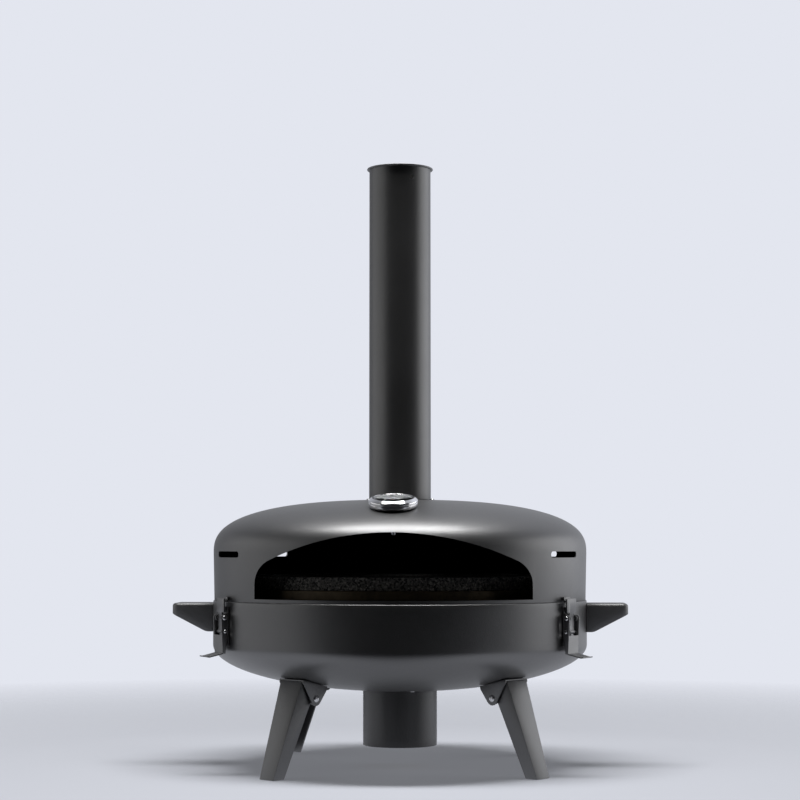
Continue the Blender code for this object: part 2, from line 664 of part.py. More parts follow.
def make_handle(name, azimuth, bowl):
    """A folded sheet handle: top plate, lip and two gussets on a curved back plate."""
    tip = BODY_RADIUS + HANDLE_REACH
    top = RIM_Z - HANDLE_TOP
    inner = BODY_RADIUS - HANDLE_REACH
    heel = (BODY_RADIUS + HANDLE_HEEL, top - HANDLE_DROP + HANDLE_HEEL_RADIUS)
    gusset = wrap([(inner, top), (tip, top), (tip, top - HANDLE_TIP_HEIGHT), (inner, top - HANDLE_DROP),
                   *ring_points(heel, HANDLE_HEEL_RADIUS)])
    half = HANDLE_WIDTH / 2
    handle = side_prism(f"handle_{name}", gusset, 2 * HANDLE_WIDTH, "black_coating")

    def plan(inset):
        """The handle seen from above, with round outer corners."""
        corners = [(tip - HANDLE_CORNER, side * (half - HANDLE_CORNER)) for side in (-1, 1)]
        rounds = [p for c in corners for p in ring_points(c, HANDLE_CORNER - inset)]
        return wrap([(inner, inset - half), (inner, half - inset), *rounds])

    def wall(radius):
        """The body's round wall as a cutter."""
        low, high = top - 2 * HANDLE_DROP, top + HANDLE_DROP
        return turned("handle_wall", [(0, high), (radius, high), (radius, low), (0, low)], None, closed=False)

    outer = prism("handle_plan", plan(0.0), 4 * HANDLE_DROP, None)
    outer.data.transform(Matrix.Translation((0, 0, top)))
    cut(handle, outer, "INTERSECT", ride=True)
    cut(handle, wall(BODY_RADIUS + GAP))
    depth = 2 * HANDLE_DROP
    room = prism("handle_room", plan(HANDLE_SHEET), depth, None)
    room.data.transform(Matrix.Translation((0, 0, top - HANDLE_SHEET - depth / 2)))
    cut(room, wall(BODY_RADIUS + GAP + HANDLE_SHEET))
    cut(handle, room, ride=True)
    place(handle, azimuth)

    for i, side in enumerate((-1, 1)):
        sideways = side * BOLT_SPREAD / 2
        wall_out = sqrt(BODY_RADIUS ** 2 - sideways ** 2)
        seat_tilt = BOLT_HEAD_RADIUS * BOLT_SPREAD / 2 / BODY_RADIUS
        low = wall_out - SHEET - 2 * GAP - seat_tilt
        high = wall_out + HANDLE_SHEET + 3 * GAP + seat_tilt
        bolt = headed_pin(f"handle_bolt_{name}_{i + 1}", BOLT_RADIUS, BOLT_HEAD_RADIUS, BOLT_HEAD_HEIGHT,
                          low, high, "bare_steel")
        heading = radians(azimuth - 90)
        way = Vector((cos(heading), sin(heading), 0))
        across = Vector((-sin(heading), cos(heading), 0)) * sideways
        spot = across + Vector((0, 0, RIM_Z - BOLT_DROP))
        bolt.location = spot
        bolt.rotation_euler = (0, pi / 2, heading)
        for holed in (bowl, handle):
            bore(holed, spot + way * wall_out, way, BOLT_RADIUS + PIN_CLEARANCE)


def make_latch(name, azimuth):
    """A toggle latch: base, lever and claw on the bowl, and the catch on the hood."""
    wall = BODY_RADIUS
    pivot = (wall + LATCH_PIVOT_OUT, RIM_Z - LATCH_PIVOT_DROP)
    claw_pivot = (wall + CLAW_PIVOT_OUT, RIM_Z - CLAW_PIVOT_DROP)
    back = wall + GAP
    face = back + LATCH_SHEET
    pivot_hole = [ring_points(pivot, LATCH_PIN_RADIUS + PIN_CLEARANCE)]
    claw_hole = [ring_points(claw_pivot, CLAW_PIN_RADIUS + PIN_CLEARANCE)]

    plate = rectangle(back, RIM_Z - LATCH_BASE_BOTTOM, face, RIM_Z - LATCH_BASE_TOP)
    reach = 2 * LATCH_EAR_RADIUS
    ear = wrap([(back, pivot[1] - reach), (back, pivot[1] + reach), *ring_points(pivot, LATCH_EAR_RADIUS)])
    base = side_prism(f"latch_base_{name}", ear, LATCH_BASE_WIDTH, "black_coating", pivot_hole)
    ear_gap = LATCH_BASE_WIDTH - 2 * LATCH_SHEET
    room = rectangle(face, pivot[1] - 2 * reach, pivot[0] + reach, pivot[1] + 2 * reach)
    cut(base, side_prism("latch_base_room", room, ear_gap, None), ride=True)
    cut(base, side_prism("latch_base_plate", plate, LATCH_BASE_WIDTH + LATCH_SHEET, None), "UNION", ride=True)
    place(base, azimuth)

    bottom = RIM_Z - LEVER_BOTTOM
    toe = wall + LEVER_TOE_OUT
    heel = toe + LEVER_WAIST
    arm = wrap([(toe, bottom), (heel, bottom), *ring_points(claw_pivot, LEVER_WAIST),
                *ring_points(pivot, LEVER_EYE_RADIUS)])
    lever = side_prism(f"latch_lever_{name}", arm, LEVER_WIDTH, "grey_coating", pivot_hole + claw_hole)
    # The web closes the lever's outer side below the claw only, so that the claw can swing out.
    lean = (pivot[0] + LEVER_EYE_RADIUS - heel) / (pivot[1] - bottom)
    web_top = RIM_Z - LEVER_WEB_DROP
    skin = heel - LATCH_SHEET
    past = pivot[0] + 2 * LEVER_EYE_RADIUS
    below, above = bottom - LEVER_WAIST, pivot[1] + 2 * LEVER_EYE_RADIUS
    room = [(wall, below), (skin + lean * (below - bottom), below),
            (skin + lean * (web_top - bottom), web_top), (past, web_top), (past, above), (wall, above)]
    arm_gap = LEVER_WIDTH - 2 * LATCH_SHEET
    lever_room = side_prism("lever_room", room, arm_gap, None)
    tab_out = heel + FINGER_TAB_LENGTH
    tab_low = bottom - LATCH_SHEET / 2
    tab_top = bottom + LATCH_SHEET / 2
    droop = FINGER_TAB_DROOP
    tab = [(skin + GAP, tab_low), (tab_out, tab_low - droop), (tab_out, tab_top - droop),
           (heel - GAP, tab_top), (skin + GAP, tab_top)]
    finger_tab = side_prism("finger_tab", tab, arm_gap + LATCH_SHEET, None)
    for shape in (lever, lever_room, finger_tab):
        recentre(shape, *pivot)
    cut(lever, lever_room, ride=True)
    cut(lever, finger_tab, "UNION", ride=True)
    place(lever, azimuth, *pivot)

    for i, side in enumerate((-1, 1)):
        inner = ear_gap / 2 - GAP
        outer = LEVER_WIDTH / 2 + GAP
        head = LATCH_PIN_HEAD_RADIUS
        stub = [(0, outer + PIN_HEAD), (head, outer + PIN_HEAD), (head, outer),
                (LATCH_PIN_RADIUS, outer), (LATCH_PIN_RADIUS, inner), (0, inner)]
        pin = turned(f"latch_pin_{name}_{i + 1}", stub, "bare_steel", SMALL_STEPS, closed=False)
        place(pin, azimuth, *pivot, (side * pi / 2, 0.0))

    shelf_top = HOOD_BASE_Z + GAP + LATCH_SHEET
    shelf_out = face + CATCH_SHELF - LATCH_SHEET
    catch = [(back, HOOD_BASE_Z + GAP), (shelf_out, HOOD_BASE_Z + GAP), (shelf_out, shelf_top),
             (face, shelf_top), (face, HOOD_BASE_Z + CATCH_HEIGHT), (back, HOOD_BASE_Z + CATCH_HEIGHT)]
    place(side_prism(f"hood_catch_{name}", catch, CATCH_WIDTH, "black_coating"), azimuth)

    hook_low = shelf_top + 2 * CLAW_CLEARANCE
    hook_in = shelf_out + CLAW_CLEARANCE
    strip_in = hook_in + CLAW_HOOK
    strip_out = strip_in + LATCH_SHEET
    hook_top = hook_low + LATCH_SHEET
    strip = [(strip_in, claw_pivot[1]), (strip_out, claw_pivot[1]), (strip_out, hook_top),
             (hook_in, hook_top), (hook_in, hook_low), (strip_in, hook_low)]
    claw = side_prism(f"latch_claw_{name}", ring_points(claw_pivot, CLAW_EYE_RADIUS), CLAW_WIDTH,
                      "grey_coating", claw_hole)
    blade = side_prism("claw_blade", strip, CLAW_WIDTH - LATCH_SHEET, None)
    hole_again = side_prism("claw_hole", claw_hole[0], 2 * CLAW_WIDTH, None)
    for shape in (claw, blade, hole_again):
        recentre(shape, *claw_pivot)
    cut(claw, blade, "UNION", ride=True)
    cut(claw, hole_again, ride=True)
    place(claw, azimuth, *claw_pivot)
    grip = LEVER_WIDTH / 2 + GAP
    pin = headed_pin(f"claw_pin_{name}", CLAW_PIN_RADIUS, CLAW_PIN_HEAD_RADIUS, PIN_HEAD, -grip, grip,
                     "bare_steel")
    place(pin, azimuth, *claw_pivot, (pi / 2, 0.0))


def main():
    bowl = make_bowl()
    make_ash_tube(bowl)
    make_grate()
    make_stone()
    hood = make_hood()
    make_chimney(hood)
    make_gauge(hood)
    for name, azimuth in LEG_AZIMUTHS.items():
        make_leg(name, azimuth)
    for name, azimuth in HANDLE_AZIMUTHS.items():
        make_handle(name, azimuth, bowl)
    for name, azimuth in LATCH_AZIMUTHS.items():
        make_latch(name, azimuth)


main()
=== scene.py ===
"""Looks of a portable wood fired pizza oven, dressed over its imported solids.

Metres, +Z up, the mouth towards -Y. Azimuths are in degrees from the front, positive towards +X.
"""
from math import acos, atan, atan2, cos, pi, radians, sin, sqrt, tan, tau

import bpy
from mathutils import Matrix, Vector


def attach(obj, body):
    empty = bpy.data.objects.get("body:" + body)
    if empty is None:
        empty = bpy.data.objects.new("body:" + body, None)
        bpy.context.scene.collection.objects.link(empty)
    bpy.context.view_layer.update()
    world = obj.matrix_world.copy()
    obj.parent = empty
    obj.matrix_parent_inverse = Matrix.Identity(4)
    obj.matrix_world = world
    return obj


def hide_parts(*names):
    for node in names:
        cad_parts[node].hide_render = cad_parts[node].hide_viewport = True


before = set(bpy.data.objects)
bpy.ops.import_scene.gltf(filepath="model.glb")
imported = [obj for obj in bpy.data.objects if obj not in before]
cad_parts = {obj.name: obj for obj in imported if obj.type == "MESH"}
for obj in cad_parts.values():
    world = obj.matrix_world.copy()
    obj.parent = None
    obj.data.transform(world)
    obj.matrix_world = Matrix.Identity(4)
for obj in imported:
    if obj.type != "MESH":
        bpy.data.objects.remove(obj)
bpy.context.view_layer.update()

# Sizes that the solids have
GAP = 0.0003
SHEET = 0.002
BODY_RADIUS = 0.240
RIM_Z = 0.212
BOWL_CURVE_Z = RIM_Z - 0.056
BOWL_DEPTH = 0.0597
HOOD_BASE_Z = RIM_Z + GAP
HOOD_CURVE_Z = RIM_Z + 0.061
CROWN_HEIGHT = 0.0674
CROWN_POWER = 2.6
TUBE_RADIUS = 0.0475
TUBE_BORE = TUBE_RADIUS - SHEET
TUBE_SEAT = 0.0595
PIPE_RADIUS = 0.040
PIPE_BORE = 0.0385
FLUE_HOLE = 0.0383
STONE_RADIUS = 0.200
STONE_TOP = RIM_Z + 0.0313
STONE_LOW = STONE_TOP - 0.016
LEGS = {"front_left": -41, "front_right": 51, "rear_left": -135, "rear_right": 131}
HANDLES = {"left": -90, "right": 90}
LATCHES = {"left": -61, "right": 61}
SLOTS = (-128.5, -61, 61, 128.5)

# The photographer's place
EYE_DISTANCE = 2.674
EYE_HEIGHT = 0.281
EYE_AZIMUTH = 2.8
EYE_PITCH = 4.05
FOCAL_LENGTH = 92.8

# Colour of floor and backdrop, and the floor's brightness: lighting the oven, mirrored by metal as a painted
# dark reflection in front and a painted reflection glow elsewhere, and to the camera, part shaded and part
# aglow
PALE = (0.768, 0.791, 0.863)
FLOOR_BOUNCE = 0.15
FLOOR_FRONT = 0.02
FLOOR_MIRRORED = 1.0
FLOOR_SHADE = 0.59
FLOOR_LIFT = 0.165

MERGE_DISTANCE = 0.00001


# Modelling by hand

def rest():
    """Leave edit mode with nothing selected."""
    if bpy.context.object and bpy.context.object.mode == "EDIT":
        bpy.ops.object.mode_set(mode="OBJECT")
    bpy.ops.object.select_all(action="DESELECT")


def take(piece):
    """Make one piece the selected and active one."""
    rest()
    piece.select_set(True)
    bpy.context.view_layer.objects.active = piece


def spot(azimuth, out, side, up):
    """A point out from the axis at an azimuth, then sideways and up."""
    heading = radians(azimuth - 90)
    return Vector((out * cos(heading) - side * sin(heading), out * sin(heading) + side * cos(heading), up))


def wire(name, points):
    """A line through the points, drawn by extruding one vertex."""
    rest()
    bpy.ops.mesh.primitive_plane_add(size=0.001, enter_editmode=True, location=points[0])
    piece = bpy.context.object
    piece.name = piece.data.name = name
    bpy.ops.mesh.merge(type="CENTER")
    for here, there in zip(points, points[1:]):
        bpy.ops.mesh.extrude_region_move(TRANSFORM_OT_translate={"value": Vector(there) - Vector(here)})
    bpy.ops.mesh.select_all(action="SELECT")
    return piece


def close(piece):
    """Merge the seams, turn the faces outwards and put the piece's place into its mesh."""
    bpy.ops.mesh.select_all(action="SELECT")
    bpy.ops.mesh.remove_doubles(threshold=MERGE_DISTANCE)
    bpy.ops.mesh.normals_make_consistent(inside=False)
    bpy.ops.object.mode_set(mode="OBJECT")
    bpy.ops.object.transform_apply(location=True, rotation=True, scale=True)
    return piece


def spun(name, profile, steps, ring=True):
    """A (radius, height) profile spun about the upright axis; a ring's profile closes on itself."""
    line = [(r, 0.0, z) for r, z in profile]
    piece = wire(name, line + line[:1] if ring else line)
    bpy.ops.mesh.spin(steps=steps, angle=tau, center=(0, 0, 0), axis=(0, 0, 1))
    return close(piece)


def pulled(name, points, way):
    """A flat outline, filled and pulled out into a solid."""
    piece = wire(name, points)
    bpy.ops.mesh.edge_face_add()
    bpy.ops.mesh.extrude_region_move(TRANSFORM_OT_translate={"value": way})
    return close(piece)


def side_slab(name, azimuth, outline, width):
    """An (out, up) outline pulled sideways, centred on its azimuth."""
    points = [spot(azimuth, out, -width / 2, up) for out, up in outline]
    return pulled(name, points, spot(azimuth, 0, width, 0))


def plan_slab(name, azimuth, outline, low, high):
    """An (out, side) outline pulled upwards."""
    points = [spot(azimuth, out, side, low) for out, side in outline]
    return pulled(name, points, Vector((0, 0, high - low)))


def apply(piece, kind, **values):
    """Add a modifier, set it and apply it."""
    take(piece)
    change = piece.modifiers.new(kind.lower(), kind)
    for key, value in values.items():
        setattr(change, key, value)
    bpy.ops.object.modifier_apply(modifier=change.name)
    return piece


def cut(piece, cutter, operation="DIFFERENCE"):
    """Cut, join or keep by another solid, which is then removed."""
    apply(piece, "BOOLEAN", object=cutter, operation=operation, solver="EXACT")
    bpy.data.objects.remove(cutter, do_unlink=True)
    return piece


def open_up(piece):
    """Go into edit mode with all of the piece selected."""
    take(piece)
    bpy.ops.object.mode_set(mode="EDIT")
    bpy.ops.mesh.select_all(action="SELECT")


def merge_flats(piece):
    """Merge corners that meet and dissolve the lines across flat faces; the piece stays in edit mode."""
    open_up(piece)
    bpy.ops.mesh.remove_doubles(threshold=2 * MERGE_DISTANCE)
    bpy.ops.mesh.dissolve_limited(angle_limit=radians(0.5))


def soften(piece, width):
    """Round the sheet's sharp edges."""
    merge_flats(piece)
    bpy.ops.object.mode_set(mode="OBJECT")
    return apply(piece, "BEVEL", width=width, segments=2, limit_method="ANGLE",
                 angle_limit=radians(40), miter_outer="MITER_ARC")


def slice_off(piece, point, normal):
    """Cut the piece flat through a point and throw away what lies along the normal."""
    open_up(piece)
    bpy.ops.mesh.bisect(plane_co=point, plane_no=normal, use_fill=True, clear_outer=True)
    bpy.ops.object.mode_set(mode="OBJECT")


def stand(piece, turn=(0.0, 0.0, 0.0), at=(0.0, 0.0, 0.0)):
    """Turn and move a piece, and put that into its mesh."""
    take(piece)
    piece.rotation_euler = turn
    piece.location = at
    bpy.ops.object.transform_apply(location=True, rotation=True, scale=True)
    return piece


def join(piece, *others):
    """Join other pieces into one."""
    take(piece)
    for other in others:
        other.select_set(True)
    bpy.ops.object.join()
    return piece


def dress(piece, body, slot, finish, *nodes, smooth=35):
    """Finish a piece: smooth shading, its material, the body that it rides on and what it stands for."""
    take(piece)
    bpy.ops.object.shade_smooth_by_angle(angle=radians(smooth))
    piece.data.materials.clear()
    piece.data.materials.append(finish)
    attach(piece, body)
    if nodes:
        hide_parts(*nodes)
    return piece


def line_inside(piece, centre=None):
    """Soot on the faces that look towards a point or, without one, towards the upright axis."""
    limit = -0.3 if centre else -0.5
    piece.data.materials.append(INNER_SOOT)
    for face in piece.data.polygons:
        way = face.center - Vector(centre) if centre else Vector((*face.center[:2], 0))
        if face.normal.dot(way.normalized()) < limit:
            face.material_index = 1


def rounded(corners, steps=5):
    """An outline whose corners are (u, v), or (u, v, radius) where they are round."""
    outline = []
    for i, corner in enumerate(corners):
        here = Vector(corner[:2])
        if len(corner) < 3:
            outline.append(tuple(here))
            continue
        before = (Vector(corners[i - 1][:2]) - here).normalized()
        after = (Vector(corners[(i + 1) % len(corners)][:2]) - here).normalized()
        half = before.angle(after) / 2
        centre = here + (before + after).normalized() * corner[2] / sin(half)
        start = (here + before * corner[2] / tan(half) - centre).normalized()
        end = (here + after * corner[2] / tan(half) - centre).normalized()
        outline += [tuple(centre + start.slerp(end, k / steps) * corner[2]) for k in range(steps + 1)]
    return outline


def oblong(u_low, u_high, v_low, v_high):
    """The four corners of an oblong."""
    return [(u_low, v_low), (u_high, v_low), (u_high, v_high), (u_low, v_high)]


def circle(centre, radius, count=24):
    """Points round a circle."""
    return [(centre[0] + radius * cos(tau * i / count), centre[1] + radius * sin(tau * i / count))
            for i in range(count)]


def arc(centre, radius, start, end, count):
    """Points along an arc, angles in radians."""
    angles = [start + (end - start) * i / count for i in range(count + 1)]
    return [(centre[0] + radius * cos(a), centre[1] + radius * sin(a)) for a in angles]


def wrap(points):
    """The outline of a band drawn tight round the points."""
    points = sorted(set((round(u, 7), round(v, 7)) for u, v in points))

    def half(order):
        chain = []
        for p in order:
            while len(chain) > 1 and ((chain[-1][0] - chain[-2][0]) * (p[1] - chain[-2][1])
                                      <= (chain[-1][1] - chain[-2][1]) * (p[0] - chain[-2][0])):
                chain.pop()
            chain.append(p)
        return chain[:-1]

    return half(points) + half(points[::-1])


def drum(name, radius, low, high):
    """An upright drum about the axis, for cutting round walls."""
    return spun(name, [(0, high), (radius, high), (radius, low), (0, low)], 240, ring=False)


# Finishes

def new_group(name, inputs, outputs):
    """An empty shader node group with its sockets, and its two end nodes."""
    tree = bpy.data.node_groups.new(name, "ShaderNodeTree")
    for label, kind, value in inputs:
        socket = tree.interface.new_socket(name=label, in_out="INPUT", socket_type="NodeSocket" + kind)
        socket.default_value = value
    for label, kind in outputs:
        tree.interface.new_socket(name=label, in_out="OUTPUT", socket_type="NodeSocket" + kind)
    return tree, tree.nodes.new("NodeGroupInput"), tree.nodes.new("NodeGroupOutput")


def socket_name(key):
    """The name of the shader socket that a keyword stands for."""
    return key.replace("_", " ").title().replace("Ior", "IOR")


def give(tree, node, **sockets):
    """Link sockets to a node's inputs by name."""
    for key, socket in sockets.items():
        tree.links.new(socket, node.inputs[socket_name(key)])


def math(tree, operation, a, b=0.0, c=0.0):
    """A Math node; each operand is a socket or a number."""
    node = tree.nodes.new("ShaderNodeMath")
    node.operation = operation
    for socket, value in zip(node.inputs, (a, b, c)):
        if isinstance(value, (int, float)):
            socket.default_value = value
        else:
            tree.links.new(value, socket)
    return node.outputs[0]


def noise(tree, scale, detail=2.0, roughness=0.5, stretch=None):
    """Noise on Object coordinates, from 0 to 1; a stretch draws it out along an axis."""
    node = tree.nodes.new("ShaderNodeTexNoise")
    node.inputs["Detail"].default_value = detail
    node.inputs["Roughness"].default_value = roughness
    where = tree.nodes.new("ShaderNodeTexCoord").outputs["Object"]
    if stretch:
        mapping = tree.nodes.new("ShaderNodeMapping")
        mapping.inputs["Scale"].default_value = stretch
        give(tree, mapping, vector=where)
        where = mapping.outputs["Vector"]
    give(tree, node, vector=where)
    if isinstance(scale, (int, float)):
        node.inputs["Scale"].default_value = scale
    else:
        give(tree, node, scale=scale)
    return node.outputs["Fac"]


def blend_colour(tree, factor, a, b):
    """Mix two colours, each a socket or a colour."""
    node = tree.nodes.new("ShaderNodeMix")
    node.data_type = "RGBA"
    give(tree, node, factor=factor)
    for socket, value in ((node.inputs[6], a), (node.inputs[7], b)):
        if isinstance(value, tuple):
            socket.default_value = (*value, 1.0)
        else:
            tree.links.new(value, socket)
    return node.outputs[2]


def ramp(tree, value, low, high):
    """A value stretched so that low becomes 0 and high becomes 1."""
    node = tree.nodes.new("ShaderNodeMapRange")
    node.inputs["From Min"].default_value = low
    node.inputs["From Max"].default_value = high
    give(tree, node, value=value)
    return node.outputs["Result"]


def make_powder_grain():
    """Powder coat: a fine orange-peel grain, faint cloudy shade and dust in the grain."""
    tree, given, made = new_group(
        "powder_grain",
        [("Colour", "Color", (0.08, 0.08, 0.08, 1)), ("Lighter", "Color", (0.1, 0.1, 0.1, 1)),
         ("Grain", "Float", 700.0), ("Roughness", "Float", 0.45)],
        [("Colour", "Color"), ("Roughness", "Float"), ("Height", "Float")])
    fine = noise(tree, given.outputs["Grain"], roughness=0.6)
    cloud = noise(tree, scale=9.0, detail=4.0, roughness=0.55)
    sparkle = ramp(tree, fine, 0.62, 0.8)
    shade = math(tree, "MULTIPLY_ADD", sparkle, 0.5, math(tree, "MULTIPLY", cloud, 0.7))
    colour = blend_colour(tree, shade, given.outputs["Colour"], given.outputs["Lighter"])
    rough = math(tree, "MULTIPLY_ADD", math(tree, "SUBTRACT", cloud, 0.5), 0.16, given.outputs["Roughness"])
    rough = math(tree, "MULTIPLY_ADD", math(tree, "SUBTRACT", fine, 0.5), 0.18, rough)
    give(tree, made, colour=colour, roughness=rough, height=fine)
    return tree


def make_smudges():
    """Soft wipe marks and fine scratches for bare metal."""
    tree, given, made = new_group(
        "smudges",
        [("Scale", "Float", 60.0), ("Roughness", "Float", 0.25), ("Spread", "Float", 0.2)],
        [("Mask", "Float"), ("Roughness", "Float"), ("Height", "Float")])
    cloud = noise(tree, given.outputs["Scale"], detail=5.0, roughness=0.65)
    lines = noise(tree, scale=500.0, stretch=(0.08, 1.0, 0.08))
    mask = math(tree, "MULTIPLY_ADD", lines, 0.4, math(tree, "MULTIPLY", cloud, 0.6))
    change = math(tree, "MULTIPLY", math(tree, "SUBTRACT", mask, 0.5), given.outputs["Spread"])
    give(tree, made, mask=mask, roughness=math(tree, "ADD", change, given.outputs["Roughness"]), height=lines)
    return tree


def make_soot():
    """Soot and scale from the fire: patches of dull black over a browned ground."""
    tree, given, made = new_group(
        "soot",
        [("Ground", "Color", (0.05, 0.04, 0.03, 1)), ("Soot", "Color", (0.01, 0.01, 0.01, 1)),
         ("Cover", "Float", 0.5), ("Roughness", "Float", 0.8)],
        [("Colour", "Color"), ("Roughness", "Float"), ("Height", "Float")])
    patch = noise(tree, scale=24.0, detail=6.0, roughness=0.62)
    fine = noise(tree, scale=420.0, detail=3.0, roughness=0.6)
    cover = math(tree, "MULTIPLY_ADD", math(tree, "SUBTRACT", patch, 0.5), 2.2, given.outputs["Cover"])
    cover = math(tree, "MINIMUM", math(tree, "MAXIMUM", cover, 0.0), 1.0)
    colour = blend_colour(tree, cover, given.outputs["Ground"], given.outputs["Soot"])
    rough = math(tree, "MULTIPLY_ADD", cover, 0.15, given.outputs["Roughness"])
    give(tree, made, colour=colour, roughness=rough, height=fine)
    return tree


POWDER_GRAIN = make_powder_grain()
SMUDGES = make_smudges()
SOOT = make_soot()


def new_material(name, **plain):
    """A material with its Principled shader, plain values set on the shader's own sockets."""
    made = bpy.data.materials.new(name)
    made.use_nodes = True
    shader = made.node_tree.nodes["Principled BSDF"]
    for key, value in plain.items():
        socket = shader.inputs[socket_name(key)]
        socket.default_value = (*value, 1.0) if isinstance(value, tuple) else value
    return made, made.node_tree, shader


def place_group(tree, group, **values):
    """A node group in a material, with its own values."""
    node = tree.nodes.new("ShaderNodeGroup")
    node.node_tree = group
    for key, value in values.items():
        node.inputs[key].default_value = (*value, 1.0) if isinstance(value, tuple) else value
    return node


def emboss(tree, shader, height, strength, depth):
    """Bump from a height."""
    bump = tree.nodes.new("ShaderNodeBump")
    bump.inputs["Strength"].default_value = strength
    bump.inputs["Distance"].default_value = depth
    give(tree, bump, height=height)
    give(tree, shader, normal=bump.outputs["Normal"])


def wear(tree, shader, effect, strength, depth):
    """Colour, roughness and bump from a placed group."""
    give(tree, shader, base_color=effect.outputs["Colour"], roughness=effect.outputs["Roughness"])
    emboss(tree, shader, effect.outputs["Height"], strength, depth)


def coat_finish(name, colour, lighter, roughness, shine=1.0):
    """Powder coat in one shade."""
    made, tree, shader = new_material(name, ior=1.7, specular_ior_level=shine)
    grainy = place_group(tree, POWDER_GRAIN, Colour=colour, Lighter=lighter, Roughness=roughness)
    wear(tree, shader, grainy, strength=0.5, depth=0.00025)
    return made


def steel_finish(name, colour, roughness, spread, scale=60.0, depth=0.00004):
    """Bare or plated metal with wipe marks."""
    made, tree, shader = new_material(name, metallic=1.0)
    marks = place_group(tree, SMUDGES, Scale=scale, Roughness=roughness, Spread=spread)
    dull = tuple(0.82 * c for c in colour)
    give(tree, shader, base_color=blend_colour(tree, marks.outputs["Mask"], dull, colour),
         roughness=marks.outputs["Roughness"])
    emboss(tree, shader, marks.outputs["Height"], strength=0.3, depth=depth)
    return made


def soot_finish(name, ground, cover, metallic, roughness):
    """Metal that the fire has browned and sooted."""
    made, tree, shader = new_material(name, metallic=metallic, specular_ior_level=0.25)
    burnt = place_group(tree, SOOT, Ground=ground, Cover=cover, Roughness=roughness)
    wear(tree, shader, burnt, strength=0.4, depth=0.0004)
    return made


def stone_finish():
    """Speckled baking stone: dark and pale grit in a grey ground, with open pores."""
    made, tree, shader = new_material("baking_stone", specular_ior_level=0.3)
    grit = tree.nodes.new("ShaderNodeTexVoronoi")
    grit.inputs["Scale"].default_value = 560.0
    give(tree, grit, vector=tree.nodes.new("ShaderNodeTexCoord").outputs["Object"])
    pick = tree.nodes.new("ShaderNodeSeparateColor")
    give(tree, pick, color=grit.outputs["Color"])
    dark = ramp(tree, pick.outputs[0], 0.55, 0.75)
    pale = ramp(tree, pick.outputs[1], 0.72, 0.9)
    cloud = noise(tree, scale=22.0, detail=5.0, roughness=0.6)
    ground = blend_colour(tree, cloud, (0.09, 0.088, 0.084), (0.18, 0.174, 0.162))
    speckled = blend_colour(tree, dark, ground, (0.018, 0.018, 0.018))
    speckled = blend_colour(tree, pale, speckled, (0.32, 0.31, 0.29))
    pores = noise(tree, scale=520.0, detail=3.0, roughness=0.65)
    give(tree, shader, base_color=speckled, roughness=math(tree, "MULTIPLY_ADD", pores, 0.15, 0.78))
    emboss(tree, shader, pores, strength=0.6, depth=0.0006)
    return made


def enamel_finish(name, colour, darker, scale=900.0, detail=2.0, spread=0.15):
    """Enamel paint with faint mottling, which also varies its gloss."""
    made, tree, shader = new_material(name)
    cloud = noise(tree, scale, detail)
    give(tree, shader, base_color=blend_colour(tree, cloud, darker, colour),
         roughness=math(tree, "MULTIPLY_ADD", cloud, spread, 0.35))
    return made


def glass_finish():
    """Clear dial glass with faint wipe marks."""
    made, tree, shader = new_material("dial_glass", base_color=(0.97, 0.985, 0.99), metallic=0.0,
                                      transmission_weight=1.0, ior=1.46)
    smear = noise(tree, scale=90.0, detail=4.0, roughness=0.6)
    give(tree, shader, roughness=math(tree, "MULTIPLY", ramp(tree, smear, 0.5, 0.9), 0.06))
    return made


BLACK = (0.004, 0.004, 0.0042)
WORN_BLACK = (0.009, 0.009, 0.0095)
COAT = coat_finish("black_powder_coat", BLACK, WORN_BLACK, roughness=0.42)
TUBE_COAT = coat_finish("dulled_powder_coat", BLACK, WORN_BLACK, roughness=0.42, shine=0.5)
LEVER_COAT = coat_finish("grey_powder_coat", (0.05, 0.05, 0.052), (0.08, 0.08, 0.083), roughness=0.42)
GUSSET_COAT = coat_finish("handle_powder_coat", (0.014, 0.014, 0.0145), (0.024, 0.024, 0.025), roughness=0.5)
INNER_SOOT = soot_finish("sooted_inside", (0.022, 0.02, 0.018), cover=0.6, metallic=0.0, roughness=0.8)
BURNT = soot_finish("burnt_steel", (0.15, 0.115, 0.07), cover=0.3, metallic=0.35, roughness=0.55)
STEEL = steel_finish("fastener_steel", (0.62, 0.62, 0.63), roughness=0.27, spread=0.25)
CHROME = steel_finish("polished_chrome", (0.95, 0.95, 0.96), roughness=0.16, spread=0.07, scale=40.0,
                      depth=0.000006)
STONE = stone_finish()
DIAL = enamel_finish("dial_enamel", (0.86, 0.86, 0.84), (0.74, 0.74, 0.71), scale=300.0, detail=3.0,
                     spread=0.1)
PRINT = enamel_finish("dial_print", (0.035, 0.035, 0.037), (0.02, 0.02, 0.02))
NEEDLE_RED = enamel_finish("needle_red", (0.62, 0.03, 0.02), (0.45, 0.02, 0.015))
GLASS = glass_finish()


# Body

def bowl_z(r):
    """Height of the bowl's underside at a radius."""
    return BOWL_CURVE_Z - BOWL_DEPTH * sqrt(1 - (r / BODY_RADIUS) ** 2)


def bowl_line(inset, count=44):
    """The bowl's floor from its wall to the flat seat round the ash tube."""
    radius, depth = BODY_RADIUS - inset, BOWL_DEPTH - inset
    last = acos(TUBE_SEAT / radius)
    return [(radius * cos(last * i / count), BOWL_CURVE_Z - depth * sin(last * i / count))
            for i in range(count + 1)]


SEAT_LOW = bowl_line(0.0)[-1][1]
SEAT_TOP = bowl_line(SHEET)[-1][1]


def hood_z(r, inset=0.0):
    """Height of the crown at a radius, on its outside or inset from it."""
    share = r / (BODY_RADIUS - inset)
    return HOOD_CURVE_Z + (CROWN_HEIGHT - inset) * (1 - share ** CROWN_POWER) ** (1 / CROWN_POWER)


